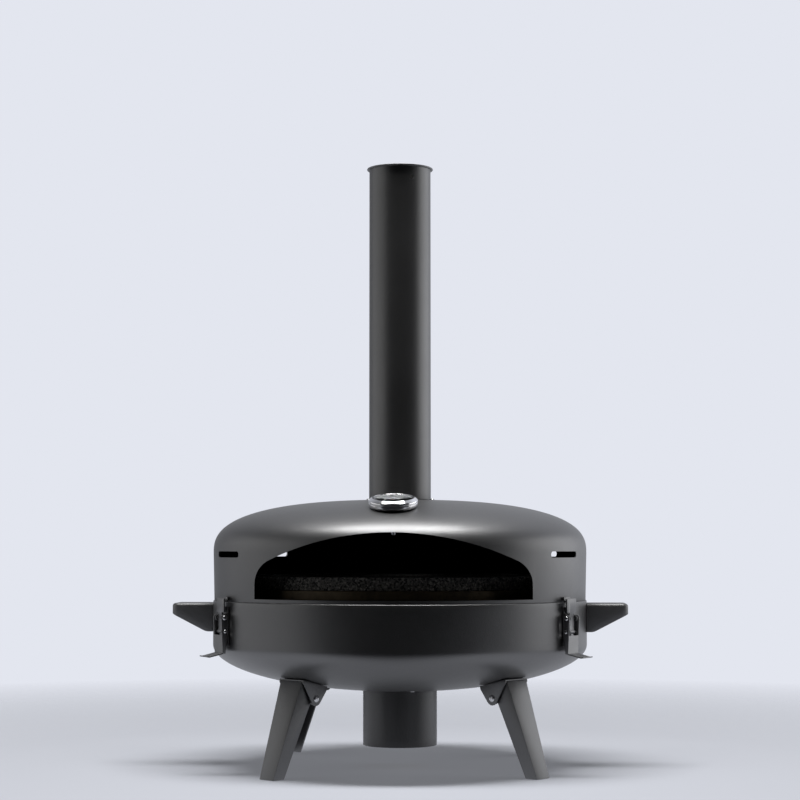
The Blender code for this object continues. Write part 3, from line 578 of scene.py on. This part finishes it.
def hood_line(inset, count=60):
    """The crown from the flue hole out to the top of the wall."""
    radius, height = BODY_RADIUS - inset, CROWN_HEIGHT - inset
    power = 2 / CROWN_POWER
    last = acos((FLUE_HOLE / radius) ** (1 / power))
    angles = [last * (1 - i / count) for i in range(count + 1)]
    return [(radius * cos(a) ** power, HOOD_CURVE_Z + height * sin(a) ** power) for a in angles]


def wall_line(radius, high, low, count=8):
    """Heights down a straight wall, ends left out."""
    return [(radius, high + (low - high) * i / count) for i in range(1, count)]


def make_bowl():
    inner = BODY_RADIUS - SHEET
    hole = TUBE_RADIUS + GAP
    rim_round = 0.0015
    profile = [(inner, RIM_Z, 0.0004), (BODY_RADIUS, RIM_Z, rim_round),
               *wall_line(BODY_RADIUS, RIM_Z, BOWL_CURVE_Z), *bowl_line(0.0), (hole, SEAT_LOW),
               (hole, SEAT_TOP), *bowl_line(SHEET)[::-1], *wall_line(inner, BOWL_CURVE_Z, RIM_Z)]
    bowl = dress(spun("bowl_shell", rounded(profile), 192), "base", "black_coating", COAT, "bowl")
    line_inside(bowl, (0, 0, RIM_Z))


def mouth_outline():
    """Upright sides, round corners and a shallow arch, as (across, up)."""
    half_width, corner, radius, rise = 0.1688, 0.032, 0.351, 0.0852
    arch_z = RIM_Z + rise - radius
    across = half_width - corner
    up = arch_z + sqrt((radius - corner) ** 2 - across ** 2)
    lean = atan((up - arch_z) / across)
    sill = RIM_Z + 0.0045
    return [(half_width, sill), *arc((across, up), corner, 0, lean, 16),
            *arc((0, arch_z), radius, lean, pi - lean, 60)[1:-1],
            *arc((-across, up), corner, pi - lean, pi, 16), (-half_width, sill)]


def make_hood():
    # The wall draws in towards its foot, which leaves the bowl's rim as a fine ledge.
    draw_in, corner = 0.0014, 0.0002
    inner, foot = BODY_RADIUS - SHEET, BODY_RADIUS - draw_in
    profile = [*hood_line(0.0), (foot, HOOD_BASE_Z, corner), (inner, HOOD_BASE_Z, corner),
               *wall_line(inner, HOOD_BASE_Z, HOOD_CURVE_Z), *hood_line(SHEET)[::-1]]
    hood = spun("hood_shell", rounded(profile), 192)
    mouth = pulled("mouth", [(across, -1.5 * BODY_RADIUS, up) for across, up in mouth_outline()],
                   Vector((0, BODY_RADIUS, 0)))
    cut(hood, mouth)
    slot_z, end, through = RIM_Z + 0.0586, 0.0038, 0.03
    half = 0.0335 - end
    outline = arc((half, 0), end, -pi / 2, pi / 2, 10) + arc((-half, 0), end, pi / 2, 3 * pi / 2, 10)
    for azimuth in SLOTS:
        points = [spot(azimuth, BODY_RADIUS - through, side, slot_z + up) for side, up in outline]
        cut(hood, pulled("air_slot", points, spot(azimuth, 2 * through, 0, 0)))
    dress(hood, "hood", "black_coating", COAT, "hood", smooth=30)
    line_inside(hood, (0, 0, RIM_Z + 0.03))


def make_chimney():
    lip_radius, lip = 0.043, 0.002
    foot = hood_z(PIPE_BORE) + GAP
    top = foot + 0.433
    profile = [(PIPE_BORE, top, 0.0005), (lip_radius, top, 0.0008), (lip_radius, top - lip, 0.0008),
               (PIPE_RADIUS, top - lip, 0.0004), *wall_line(PIPE_RADIUS, top, foot, 24)[1:],
               (PIPE_RADIUS, foot, 0.0004), (PIPE_BORE, foot)]
    pipe = spun("chimney_pipe", rounded(profile), 112)
    azimuth, hole_z, hole_radius = 25, top - 0.017, 0.0028
    hole = [spot(azimuth, 0.75 * PIPE_RADIUS, side, hole_z + up) for side, up in circle((0, 0), hole_radius)]
    cut(pipe, pulled("pipe_hole", hole, spot(azimuth, 0.5 * PIPE_RADIUS, 0, 0)))
    dress(pipe, "chimney", "black_coating", COAT, "chimney")
    line_inside(pipe)


def make_ash_tube():
    flange = TUBE_RADIUS + 0.010
    low = SEAT_TOP + GAP
    bottom = SEAT_LOW - 0.0716
    profile = [(flange, low + SHEET, 0.0006), (flange, low), (TUBE_RADIUS, low),
               *wall_line(TUBE_RADIUS, low, bottom), (TUBE_RADIUS, bottom, 0.0007),
               (TUBE_BORE, bottom, 0.0005), *wall_line(TUBE_BORE, bottom, low),
               (TUBE_BORE, low + SHEET, 0.0005)]
    tube = dress(spun("ash_tube_pipe", rounded(profile), 112), "base", "black_coating", TUBE_COAT, "ash_tube")
    line_inside(tube)
    make_ash_cup(bottom + GAP)


def make_ash_cup(floor):
    """Shallow cup with a knob that stays hidden behind the tube's rim."""
    cup, skirt = TUBE_BORE - GAP, 0.016
    knob, neck_drop, flare_drop, knob_drop = 0.008, 0.0014, 0.0018, 0.0034
    neck = 0.7 * knob
    profile = [(cup, floor + skirt, 0.0005), (cup, floor, 0.001), (neck, floor, 0.0004),
               (neck, floor - neck_drop, 0.0004), (knob, floor - flare_drop, 0.0004),
               (knob, floor - knob_drop, 0.0008), (0, floor - knob_drop), (0, floor + SHEET),
               (cup - SHEET, floor + SHEET, 0.001), (cup - SHEET, floor + skirt, 0.0005)]
    dress(spun("ash_cup_pan", rounded(profile), 96), "ash_cup", "burnt_steel", BURNT, "ash_cup")


def make_stone():
    profile = rounded([(0, STONE_TOP), (STONE_RADIUS, STONE_TOP, 0.0018), (STONE_RADIUS, STONE_LOW, 0.0012),
                       (0, STONE_LOW)])
    dress(spun("baking_stone_disc", profile, 160, ring=False), "base", "stone", STONE, "pizza_stone")
    seat = STONE_LOW - GAP
    out, width, skirt = STONE_RADIUS + 0.0035, 0.046, 0.011
    profile = rounded([(out, seat, 0.0012), (out, seat - skirt, 0.0005), (out - SHEET, seat - skirt, 0.0005),
                       (out - SHEET, seat - SHEET, 0.0004), (out - width, seat - SHEET, 0.0005),
                       (out - width, seat, 0.0005)], 4)
    dress(spun("stone_carrier_ring", profile, 160), "base", "burnt_steel", BURNT, "stone_carrier")


# Thermometer, drawn along its own axis from the hood's skin, then leaned to the slope

GAUGE_CIRCLE = 0.169
GAUGE_SHARE = GAUGE_CIRCLE / BODY_RADIUS
GAUGE_SLOPE = atan(CROWN_HEIGHT / BODY_RADIUS * GAUGE_SHARE ** (CROWN_POWER - 1)
                   * (1 - GAUGE_SHARE ** CROWN_POWER) ** (1 / CROWN_POWER - 1))
GAUGE_SPOT = (0.0, -GAUGE_CIRCLE, hood_z(GAUGE_CIRCLE))
DIAL_TOP = 0.0068
DIAL_START = 225


def lean(piece):
    """Lean a thermometer piece to the hood's slope."""
    return stand(piece, (GAUGE_SLOPE, 0, 0), GAUGE_SPOT)


def make_gauge_case():
    rim, window, room, groove, cup, spindle = 0.0300, 0.0246, 0.0225, 0.0288, 0.0298, 0.0015
    top, foot, floor, window_seat = 0.0118, 0.0006, 0.0057, 0.0098
    bezel = [(window, top, 0.0004), (0.0262, top, 0.0008), (rim, 0.0086, 0.0022),
             (rim, 0.0070, 0.0006), (groove, 0.0065, 0.0003), (groove, 0.0059, 0.0003)]
    base = [(cup, 0.0053, 0.0006), (cup, 0.0026, 0.0008), (0.0285, foot), (spindle, foot),
            (spindle, floor), (room, floor), (room, window_seat), (window, window_seat)]
    dress(lean(spun("thermometer_bezel", rounded(bezel + base, 6), 112)), "hood", "chrome", CHROME,
          "thermometer_case")
    pane, pane_low = 0.0243, 0.0101
    glass = [(0, 0.0117), (0.012, 0.01163), (pane, 0.0114, 0.0004), (pane, pane_low), (0, pane_low)]
    dress(lean(spun("thermometer_window", rounded(glass, 4), 96, ring=False)), "hood", "glass", GLASS,
          "thermometer_glass")
    dial, dial_low = 0.0222, 0.0060
    plate = [(dial, DIAL_TOP, 0.0003), (dial, dial_low), (spindle, dial_low), (spindle, DIAL_TOP)]
    dress(lean(spun("thermometer_face", rounded(plate), 96)), "hood", "dial_white", DIAL, "thermometer_dial")


def dial_mark(turn, inner, half):
    """One printed line of the dial's scale."""
    outer, print_height = 0.0212, 0.0001
    low = DIAL_TOP - print_height / 2
    line = [(u, v, low) for u, v in oblong(inner, outer, -half, half)]
    return stand(pulled("dial_mark", line, Vector((0, 0, print_height))), (0, 0, turn))


def dial_number(turn, value):
    ring, letter_size, half_height = 0.0137, 0.0046, 0.00003
    rest()
    bpy.ops.object.text_add()
    number = bpy.context.object
    number.data.body = str(value)
    number.data.size = letter_size
    number.data.align_x = number.data.align_y = "CENTER"
    number.data.extrude = half_height
    bpy.ops.object.convert(target="MESH")
    return stand(number, at=(ring * cos(turn), ring * sin(turn), DIAL_TOP))


def make_gauge_scale():
    sweep, count, per_number = 270, 50, 10
    long_mark, fine_mark = (0.0172, 0.00028), (0.0190, 0.00014)
    marks = []
    for i in range(count + 1):
        turn = radians(DIAL_START - sweep * i / count)
        numbered = i % per_number == 0
        marks.append(dial_mark(turn, *(long_mark if numbered else fine_mark)))
        if numbered:
            marks.append(dial_number(turn, 10 * i))
    scale = join(*marks)
    scale.name = scale.data.name = "thermometer_scale"
    dress(lean(scale), "hood", "dial_white", PRINT)


def make_gauge_needle():
    low, thick, reach, hub, cap_height = DIAL_TOP + GAP, 0.0008, 0.017, 0.0022, 0.0016
    tail, tail_half, hub_half, tip_half = -0.006, 0.0009, 0.0011, 0.0002
    half_blade = [(tail, tail_half), (0.0, hub_half), (reach, tip_half)]
    blade = [(u, -v, low) for u, v in half_blade] + [(u, v, low) for u, v in half_blade[::-1]]
    pointer = soften(pulled("thermometer_pointer", blade, Vector((0, 0, thick))), 0.0001)
    profile = [(0, low + cap_height), (hub, low + cap_height, 0.0006), (hub, low), (0, low)]
    cap = spun("pointer_cap", rounded(profile, 5), 32, ring=False)
    needle = join(stand(pointer, (0, 0, radians(DIAL_START))), cap)
    dress(lean(needle), "needle", "needle_red", NEEDLE_RED, "thermometer_needle")


def make_gauge_probe():
    spindle, shoulder, stem, tip = 0.0012, 0.0003, 0.003, -0.036
    profile = rounded([(0, DIAL_TOP), (spindle, DIAL_TOP), (spindle, shoulder), (stem, shoulder),
                       (stem, tip, 0.0028), (0, tip)], 8)
    dress(lean(spun("thermometer_probe", profile, 32, ring=False)), "hood", "bare_steel", STEEL,
          "thermometer_stem")
    nut_low, nut_height, nut_radius, bore_radius = -0.0076, 0.005, 0.0075, 0.0033
    nut = pulled("thermometer_lock_nut", [(*p, nut_low) for p in circle((0, 0), nut_radius, 6)],
                 Vector((0, 0, nut_height)))
    bore = pulled("nut_bore", [(*p, -2 * nut_height) for p in circle((0, 0), bore_radius, 32)],
                  Vector((0, 0, 4 * nut_height)))
    dress(lean(soften(cut(nut, bore), 0.0005)), "hood", "bare_steel", STEEL, "thermometer_nut")


# Fasteners

RIVET = {"radius": 0.0016, "head_radius": 0.0032, "head": 0.0014}


def dome(radius, height):
    """A quarter round from the rim of a domed head up to its top."""
    return [(radius * cos(i * pi / 16), height * sin(i * pi / 16)) for i in range(9)]


def domed_pin(name, low, high, radius, head_radius, head):
    """A pin along Z with a domed head outside each end of its grip."""
    cap = dome(head_radius, head)
    profile = [(r, high + z) for r, z in cap[::-1]] + [(radius, high), (radius, low)]
    profile += [(r, low - z) for r, z in cap]
    profile[0] = (0, high + head)
    profile[-1] = (0, low - head)
    return spun(name, profile, 28, ring=False)


def lay_across(pin, azimuth, pivot, way=1):
    """Lay a pin crossways through an (out, up) pivot."""
    return stand(pin, (way * pi / 2, 0, radians(azimuth - 90)), spot(azimuth, pivot[0], 0, pivot[1]))


def make_rivets():
    flange = PIPE_BORE - 0.0005 + 0.016
    ring = (flange + PIPE_RADIUS) / 2
    rows = {"tube": ("base", 20, TUBE_RADIUS + 0.005, SEAT_LOW - GAP, SEAT_TOP + GAP + SHEET + GAP),
            "collar": ("hood", 64, ring, hood_z(flange, SHEET) - 2 * GAP - SHEET,
                       hood_z(ring - RIVET["head_radius"]) + GAP)}
    for row, (body, first, out, low, high) in rows.items():
        for i in range(3):
            rivet = domed_pin(f"{row}_rivet_dome_{i + 1}", low, high, **RIVET)
            stand(rivet, at=spot(first + 120 * i, out, 0, 0))
            dress(rivet, body, "bare_steel", STEEL, f"{row}_rivet_{i + 1}")


# Legs, each on a bracket that follows the bowl's slope

LEG_OUT = 0.170
LEG_DROP = 0.0192
LEG_PIVOT = (LEG_OUT, bowl_z(LEG_OUT) - LEG_DROP)
LEG_RISE = atan(BOWL_DEPTH / BODY_RADIUS * LEG_OUT / sqrt(BODY_RADIUS ** 2 - LEG_OUT ** 2))
LEG_WIDTH = 0.038
EAR_INSIDE = LEG_WIDTH / 2 + 2 * GAP
WEB_LOW = GAP + SHEET


def under_bowl(along, below):
    """A point along the bowl's slope over the leg's pivot, and square below it."""
    return (LEG_OUT + along * cos(LEG_RISE) + below * sin(LEG_RISE),
            bowl_z(LEG_OUT) + along * sin(LEG_RISE) - below * cos(LEG_RISE))


def make_leg_bracket(name, azimuth):
    inward, outward, eye, beyond = -0.020, 0.0215, 0.0085, 0.06
    ends = [under_bowl(along, below) for along in (inward, outward) for below in (GAP, GAP + 0.004)]
    bracket = side_slab(f"leg_hinge_{name}", azimuth, wrap(ends + circle(LEG_PIVOT, eye, 40)),
                        2 * (EAR_INSIDE + SHEET))
    room = [under_bowl(*corner) for corner in oblong(-beyond, beyond, WEB_LOW, beyond)]
    cut(bracket, side_slab("bracket_room", azimuth, room, 2 * EAR_INSIDE))
    dress(soften(bracket, 0.0006), "base", "black_coating", COAT, f"leg_bracket_{name}")


def make_leg_channel(name, azimuth):
    out, up = LEG_PIVOT
    foot_width, foot_out, foot_depth, eye, neck = 0.0245, 0.2325, 0.018, 0.0075, 0.0036
    splay = radians(19.3)
    lean_out = tan(splay)
    top_below = WEB_LOW + GAP
    base = under_bowl(0, top_below)
    slope = tan(LEG_RISE)
    top_z = (base[1] + slope * (foot_out - base[0])) / (1 + slope * lean_out)
    crest = under_bowl(-LEG_DROP * sin(LEG_RISE), top_below)
    foot_in = foot_out - foot_depth
    # The flange's inner edge runs up into the eye, outside the pivot by the neck's offset.
    edge = atan2(up, out + neck - foot_in)
    eye_start = LEG_RISE + pi / 2 + acos(eye / (LEG_DROP * cos(LEG_RISE) - top_below))
    eye_end = edge - pi / 2 - acos(neck * sin(edge) / eye) + tau
    profile = [(foot_out, 0.0), (foot_out - lean_out * top_z, top_z), crest,
               *arc(LEG_PIVOT, eye, eye_start, eye_end, 24), (foot_in, 0.0)]
    skin = SHEET / cos(splay)
    far = 2 * top_z
    hollow = [(foot_out - skin + lean_out * top_z, -top_z), (foot_out - skin - lean_out * far, far),
              (out - far, far), (out - far, -top_z)]
    leg = side_slab(f"leg_channel_{name}", azimuth, profile, 2 * LEG_WIDTH)
    room = side_slab("leg_room", azimuth, hollow, 2 * LEG_WIDTH)
    spread = (LEG_WIDTH - foot_width) / 2 / top_z
    for shape, wall in ((leg, 0.0), (room, SHEET)):
        for side in (-1, 1):
            slice_off(shape, spot(azimuth, foot_in, side * (foot_width / 2 - wall), 0),
                      spot(azimuth, 0, side, -spread))
    cut(leg, room)
    dress(soften(leg, 0.0007), f"leg_{name}", "black_coating", COAT, f"leg_{name}")


def make_leg(name, azimuth):
    make_leg_bracket(name, azimuth)
    make_leg_channel(name, azimuth)
    grip = EAR_INSIDE + SHEET + GAP
    pin = domed_pin(f"leg_pivot_{name}", -grip, grip, radius=0.003, head_radius=0.0043, head=0.0017)
    dress(lay_across(pin, azimuth, LEG_PIVOT), "base", "bare_steel", STEEL, f"leg_pin_{name}")


# Side handles

def fold_over(handle, top, bend):
    """Round the plate's free edges the way bent sheet turns down into its sides."""
    merge_flats(handle)
    bpy.ops.mesh.select_all(action="DESELECT")
    bpy.ops.mesh.select_mode(type="EDGE")
    bpy.ops.object.mode_set(mode="OBJECT")
    corners = handle.data.vertices
    for line in handle.data.edges:
        ends = [corners[i].co for i in line.vertices]
        middle = (ends[0] + ends[1]) / 2
        line.select = (all(abs(end.z - top) < 0.0001 for end in ends)
                       and middle.xy.length > BODY_RADIUS + 0.003)
    bpy.ops.object.mode_set(mode="EDIT")
    bpy.ops.mesh.bevel(offset=bend, segments=6)
    bpy.ops.mesh.select_mode(type="VERT")
    bpy.ops.object.mode_set(mode="OBJECT")


def make_handle_grip(name, azimuth):
    reach, drop, half, corner, tip_height, heel_radius = 0.052, 0.0363, 0.028, 0.008, 0.0135, 0.016
    tip, top, inner = BODY_RADIUS + reach, RIM_Z - 0.004, BODY_RADIUS - reach
    heel = (BODY_RADIUS + 0.004, top - drop + heel_radius)
    gusset = wrap([(inner, top), (tip, top), (tip, top - tip_height), (inner, top - drop),
                   *circle(heel, heel_radius, 64)])
    handle = side_slab(f"handle_grip_{name}", azimuth, gusset, 4 * half)

    def plan(inset):
        """The handle seen from above, with round outer corners."""
        return wrap([(inner, inset - half), (inner, half - inset),
                     *circle((tip - corner, half - corner), corner - inset, 40),
                     *circle((tip - corner, corner - half), corner - inset, 40)])

    low, high = top - 2 * drop, top + drop
    cut(handle, plan_slab("handle_plan", azimuth, plan(0.0), low, high), "INTERSECT")
    cut(handle, drum("handle_wall", BODY_RADIUS + GAP, low, high))
    fold_over(handle, top, bend=0.004)
    room = plan_slab("handle_room", azimuth, plan(SHEET), low - drop, top - SHEET)
    cut(room, drum("room_wall", BODY_RADIUS + GAP + SHEET, low - 2 * drop, high))
    cut(handle, room)
    dress(soften(handle, 0.0006), "base", "black_coating", GUSSET_COAT, f"handle_{name}")


def make_handle(name, azimuth):
    make_handle_grip(name, azimuth)
    bolt_side, bolt_z, head_radius = 0.014, RIM_Z - 0.026, 0.0042
    tilt = head_radius * bolt_side / BODY_RADIUS
    wall_out = sqrt(BODY_RADIUS ** 2 - bolt_side ** 2)
    low = wall_out - SHEET - 2 * GAP - tilt
    high = wall_out + SHEET + 3 * GAP + tilt
    for i, side in enumerate((-bolt_side, bolt_side)):
        bolt = domed_pin(f"handle_screw_{name}_{i + 1}", low, high, radius=0.0022, head_radius=head_radius,
                         head=0.0026)
        stand(bolt, (0, pi / 2, radians(azimuth - 90)), spot(azimuth, 0, side, bolt_z))
        dress(bolt, "base", "bare_steel", STEEL, f"handle_bolt_{name}_{i + 1}")


# Toggle latches, of thin sheet

THIN = 0.0015
LATCH_BACK = BODY_RADIUS + GAP
LATCH_FACE = LATCH_BACK + THIN
LATCH_PIVOT = (BODY_RADIUS + 0.0076, RIM_Z - 0.0195)
LATCH_WIDTH = 0.019
EAR_GAP = LATCH_WIDTH - 2 * THIN
LEVER_WIDTH = 0.028
ARM_GAP = LEVER_WIDTH - 2 * THIN
CLAW_PIVOT = (BODY_RADIUS + 0.0066, RIM_Z - 0.036)
SHELF_LOW = HOOD_BASE_Z + GAP
SHELF_TOP = SHELF_LOW + THIN
SHELF_OUT = LATCH_FACE + 0.0042 - THIN


def make_latch_base(name, azimuth):
    out, up = LATCH_PIVOT
    reach, ear_radius = 0.0072, 0.0036
    ears = wrap([(LATCH_BACK, up - reach), (LATCH_BACK, up + reach), *circle(LATCH_PIVOT, ear_radius, 32)])
    base = side_slab(f"latch_plate_{name}", azimuth, ears, LATCH_WIDTH)
    room = oblong(LATCH_FACE, out + reach, up - 2 * reach, up + 2 * reach)
    cut(base, side_slab("latch_base_room", azimuth, room, EAR_GAP))
    plate = oblong(LATCH_BACK, LATCH_FACE, RIM_Z - 0.054, RIM_Z - 0.006)
    cut(base, side_slab("latch_back", azimuth, plate, LATCH_WIDTH + THIN), "UNION")
    dress(soften(base, 0.0004), "base", "black_coating", COAT, f"latch_base_{name}")


def make_latch_lever(name, azimuth):
    """Two arms joined by a web below the claw, and a drooping finger tab."""
    out, up = LATCH_PIVOT
    bottom, toe, waist, eye = RIM_Z - 0.063, BODY_RADIUS + 0.0062, 0.0035, 0.0042
    heel = toe + waist
    arm = wrap([(toe, bottom), (heel, bottom), *circle(CLAW_PIVOT, waist, 32), *circle(LATCH_PIVOT, eye, 32)])
    lever = side_slab(f"latch_handle_{name}", azimuth, arm, LEVER_WIDTH)
    lean_out = (out + eye - heel) / (up - bottom)
    web_top, skin, past = RIM_Z - 0.0405, heel - THIN, out + 2 * eye
    below, above = bottom - waist, up + 2 * eye
    room = [(BODY_RADIUS, below), (skin + lean_out * (below - bottom), below),
            (skin + lean_out * (web_top - bottom), web_top), (past, web_top), (past, above),
            (BODY_RADIUS, above)]
    cut(lever, side_slab("lever_room", azimuth, room, ARM_GAP))
    droop, lip, lip_rise = 0.004, 0.003, 0.0006
    tab_out, tab_low, tab_top = heel + 0.020, bottom - THIN / 2, bottom + THIN / 2
    tab = [(skin + GAP, tab_low), (tab_out - lip, tab_low - droop), (tab_out, tab_low - droop + lip_rise),
           (tab_out, tab_top - droop + lip_rise), (tab_out - lip, tab_top - droop), (heel - GAP, tab_top),
           (skin + GAP, tab_top)]
    cut(lever, side_slab("finger_tab", azimuth, tab, ARM_GAP + THIN), "UNION")
    dress(soften(lever, 0.0004), f"lever_{name}", "grey_coating", LEVER_COAT, f"latch_lever_{name}")


def make_latch_pins(name, azimuth):
    near, far = EAR_GAP / 2 - GAP, LEVER_WIDTH / 2 + GAP
    radius, head_radius, head = 0.0016, 0.0028, 0.0015
    cap = [(r, far + z) for r, z in dome(head_radius, head)[::-1]]
    stub = [(0, far + head), *cap[1:], (radius, far), (radius, near), (0, near)]
    for i, side in enumerate((-1, 1)):
        pin = spun(f"latch_pivot_{name}_{i + 1}", stub, 28, ring=False)
        dress(lay_across(pin, azimuth, LATCH_PIVOT, side), "base", "bare_steel", STEEL,
              f"latch_pin_{name}_{i + 1}")


def make_hood_catch(name, azimuth):
    top = HOOD_BASE_Z + 0.006
    catch = [(LATCH_BACK, SHELF_LOW), (SHELF_OUT, SHELF_LOW), (SHELF_OUT, SHELF_TOP), (LATCH_FACE, SHELF_TOP),
             (LATCH_FACE, top), (LATCH_BACK, top)]
    hook = side_slab(f"hood_hook_{name}", azimuth, catch, 0.016)
    dress(soften(hook, 0.0003), "hood", "black_coating", COAT, f"hood_catch_{name}")


def make_latch_claw(name, azimuth):
    claw_width, head_width, eye, bore = 0.0125, 0.024, 0.0026, 0.0016
    hook_low, hook_in = SHELF_TOP + 0.0008, SHELF_OUT + 0.0004
    strip_in = hook_in + 0.0017
    strip_out, hook_top = strip_in + THIN, hook_low + THIN
    up = CLAW_PIVOT[1]
    strip = [(strip_in, up), (strip_out, up), (strip_out, hook_top), (hook_in, hook_top), (hook_in, hook_low),
             (strip_in, hook_low)]
    claw = side_slab(f"latch_hook_{name}", azimuth, circle(CLAW_PIVOT, eye, 32), claw_width)
    cut(claw, side_slab("claw_blade", azimuth, strip, claw_width - THIN), "UNION")
    head = oblong(strip_in, strip_out, RIM_Z - 0.0125, hook_top)
    cut(claw, side_slab("claw_head", azimuth, head, head_width), "UNION")
    cut(claw, side_slab("claw_bore", azimuth, circle(CLAW_PIVOT, bore, 32), 2 * claw_width))
    dress(soften(claw, 0.0003), f"claw_{name}", "grey_coating", LEVER_COAT, f"latch_claw_{name}")
    grip = LEVER_WIDTH / 2 + GAP
    pin = domed_pin(f"claw_pivot_{name}", -grip, grip, radius=0.0013, head_radius=0.0024, head=0.0013)
    dress(lay_across(pin, azimuth, CLAW_PIVOT), f"lever_{name}", "bare_steel", STEEL, f"claw_pin_{name}")


def make_latch(name, azimuth):
    for make_piece in (make_latch_base, make_latch_lever, make_latch_pins, make_hood_catch, make_latch_claw):
        make_piece(name, azimuth)


def dress_solids():
    """Finishes of the solids that stay as they are."""
    for name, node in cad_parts.items():
        if node.hide_render:
            continue
        finish = COAT if name == "flue_collar" else BURNT
        node.data.materials.clear()
        node.data.materials.append(finish)


# Stage

def make_camera():
    turn = radians(EYE_AZIMUTH)
    bpy.ops.object.camera_add(
        location=(EYE_DISTANCE * sin(turn), -EYE_DISTANCE * cos(turn), EYE_HEIGHT),
        rotation=(radians(90 + EYE_PITCH), 0, turn))
    camera = bpy.context.object
    camera.data.sensor_width = 36.0
    camera.data.lens = FOCAL_LENGTH
    bpy.context.scene.camera = camera


def add_softbox(name, place, aim, width, height, power):
    """A large soft lamp pointed at a spot."""
    bpy.ops.object.light_add(type="AREA", location=place)
    lamp = bpy.context.object
    lamp.name = name
    lamp.rotation_euler = (Vector(aim) - Vector(place)).to_track_quat("-Z", "Y").to_euler()
    lamp.data.shape = "RECTANGLE"
    lamp.data.size, lamp.data.size_y = width, height
    lamp.data.energy = power
    lamp.visible_camera = False


def tint(share):
    return tuple(share * c for c in PALE)


def mix_shaders(tree, factor, first, second):
    mix = tree.nodes.new("ShaderNodeMixShader")
    give(tree, mix, fac=factor)
    tree.links.new(first, mix.inputs[1])
    tree.links.new(second, mix.inputs[2])
    return mix.outputs["Shader"]


def floor_finish():
    """A pale floor that keeps the oven's shadow and melts into the backdrop. Metal sees a painted reflection
    of it:
    a pale glow beside and behind, dimmed by a painted shadow under the oven, a painted dark reflection in
    front; other rays see it dim."""
    made, tree, shader = new_material("pale_floor", roughness=0.9, specular_ior_level=0.0,
                                      emission_color=PALE)
    path = tree.nodes.new("ShaderNodeLightPath")
    camera_sees, metal_sees = path.outputs["Is Camera Ray"], path.outputs["Is Glossy Ray"]
    thrown = blend_colour(tree, metal_sees, tint(FLOOR_BOUNCE), tint(FLOOR_FRONT))
    give(tree, shader, base_color=blend_colour(tree, camera_sees, thrown, tint(FLOOR_SHADE)),
         emission_strength=math(tree, "MULTIPLY", camera_sees, FLOOR_LIFT))

    # Metal's painted reflection of the floor: a pale glow beside the oven, faded under it as a painted shadow
    # and dark in front
    wing_slope, front_edge, painted_shadow_edge, fade = 0.5, (-0.42, -0.22), (-0.12, 0.33), (0.6, 1.8)
    where = tree.nodes.new("ShaderNodeTexCoord").outputs["Object"]
    place = tree.nodes.new("ShaderNodeSeparateXYZ")
    give(tree, place, vector=where)
    reach = tree.nodes.new("ShaderNodeVectorMath")
    reach.operation = "LENGTH"
    tree.links.new(where, reach.inputs[0])
    sideways = math(tree, "ABSOLUTE", place.outputs["X"])
    wings = math(tree, "MULTIPLY_ADD", sideways, wing_slope, place.outputs["Y"])
    painted_reflection_mask = math(tree, "MULTIPLY", ramp(tree, wings, *front_edge),
                  ramp(tree, reach.outputs["Value"], *painted_shadow_edge))
    glow = tree.nodes.new("ShaderNodeEmission")
    glow.inputs["Color"].default_value = (*PALE, 1.0)
    glow.inputs["Strength"].default_value = FLOOR_MIRRORED
    seen = mix_shaders(tree, math(tree, "MULTIPLY", metal_sees, painted_reflection_mask), shader.outputs["BSDF"],
                       glow.outputs["Emission"])
    clear = tree.nodes.new("ShaderNodeBsdfTransparent")
    faded = mix_shaders(tree, ramp(tree, reach.outputs["Value"], *fade), seen, clear.outputs["BSDF"])
    give(tree, tree.nodes["Material Output"], surface=faded)
    return made


def make_floor():
    radius, drop = 4.0, 0.0005
    rest()
    bpy.ops.mesh.primitive_circle_add(vertices=96, radius=radius, fill_type="NGON", location=(0, 0, -drop))
    floor = bpy.context.object
    floor.name = "floor"
    floor.data.materials.append(floor_finish())


def make_backdrop():
    """A pale world for the camera, for glass and, behind and above the oven, for metal; otherwise dim."""
    dim_strength, behind_edge, left_edge = 0.015, (-0.2, 0.6), (-1.5, 0.6)
    world = bpy.data.worlds.new("studio")
    bpy.context.scene.world = world
    world.use_nodes = True
    tree = world.node_tree
    backdrop = tree.nodes["Background"]
    backdrop.inputs["Color"].default_value = (*PALE, 1.0)
    dim = tree.nodes.new("ShaderNodeBackground")
    dim.inputs["Color"].default_value = (*PALE, 1.0)
    dim.inputs["Strength"].default_value = dim_strength
    path = tree.nodes.new("ShaderNodeLightPath")
    seen = math(tree, "MAXIMUM", path.outputs["Is Camera Ray"], path.outputs["Is Transmission Ray"])
    way = tree.nodes.new("ShaderNodeSeparateXYZ")
    give(tree, way, vector=tree.nodes.new("ShaderNodeTexCoord").outputs["Generated"])
    behind = math(tree, "MULTIPLY", ramp(tree, way.outputs["Y"], *behind_edge),
                  ramp(tree, way.outputs["X"], *left_edge))
    mirrored = math(tree, "MULTIPLY", path.outputs["Is Glossy Ray"], behind)
    shown = mix_shaders(tree, math(tree, "MAXIMUM", seen, mirrored), dim.outputs["Background"],
                        backdrop.outputs["Background"])
    give(tree, tree.nodes["World Output"], surface=shown)


def make_studio():
    add_softbox("softbox_left", (-2.1, -0.2, 0.7), aim=(0, -0.2, 0.7), width=2.8, height=1.3, power=7.6)
    add_softbox("softbox_right", (2.1, 0.7, 0.7), aim=(0, 0.7, 0.7), width=2.4, height=1.3, power=11.8)
    add_softbox("softbox_top", (0, -0.29, 2.4), aim=(0, -0.29, 0), width=1.85, height=0.55, power=66)
    make_floor()
    make_backdrop()
    bpy.context.scene.view_settings.view_transform = "Standard"


for make in (make_camera, make_bowl, make_hood, make_chimney, make_ash_tube, make_stone, make_gauge_case,
             make_gauge_scale, make_gauge_needle, make_gauge_probe, make_rivets):
    make()
for make, places in ((make_leg, LEGS), (make_handle, HANDLES), (make_latch, LATCHES)):
    for name, azimuth in places.items():
        make(name, azimuth)
dress_solids()
make_studio()
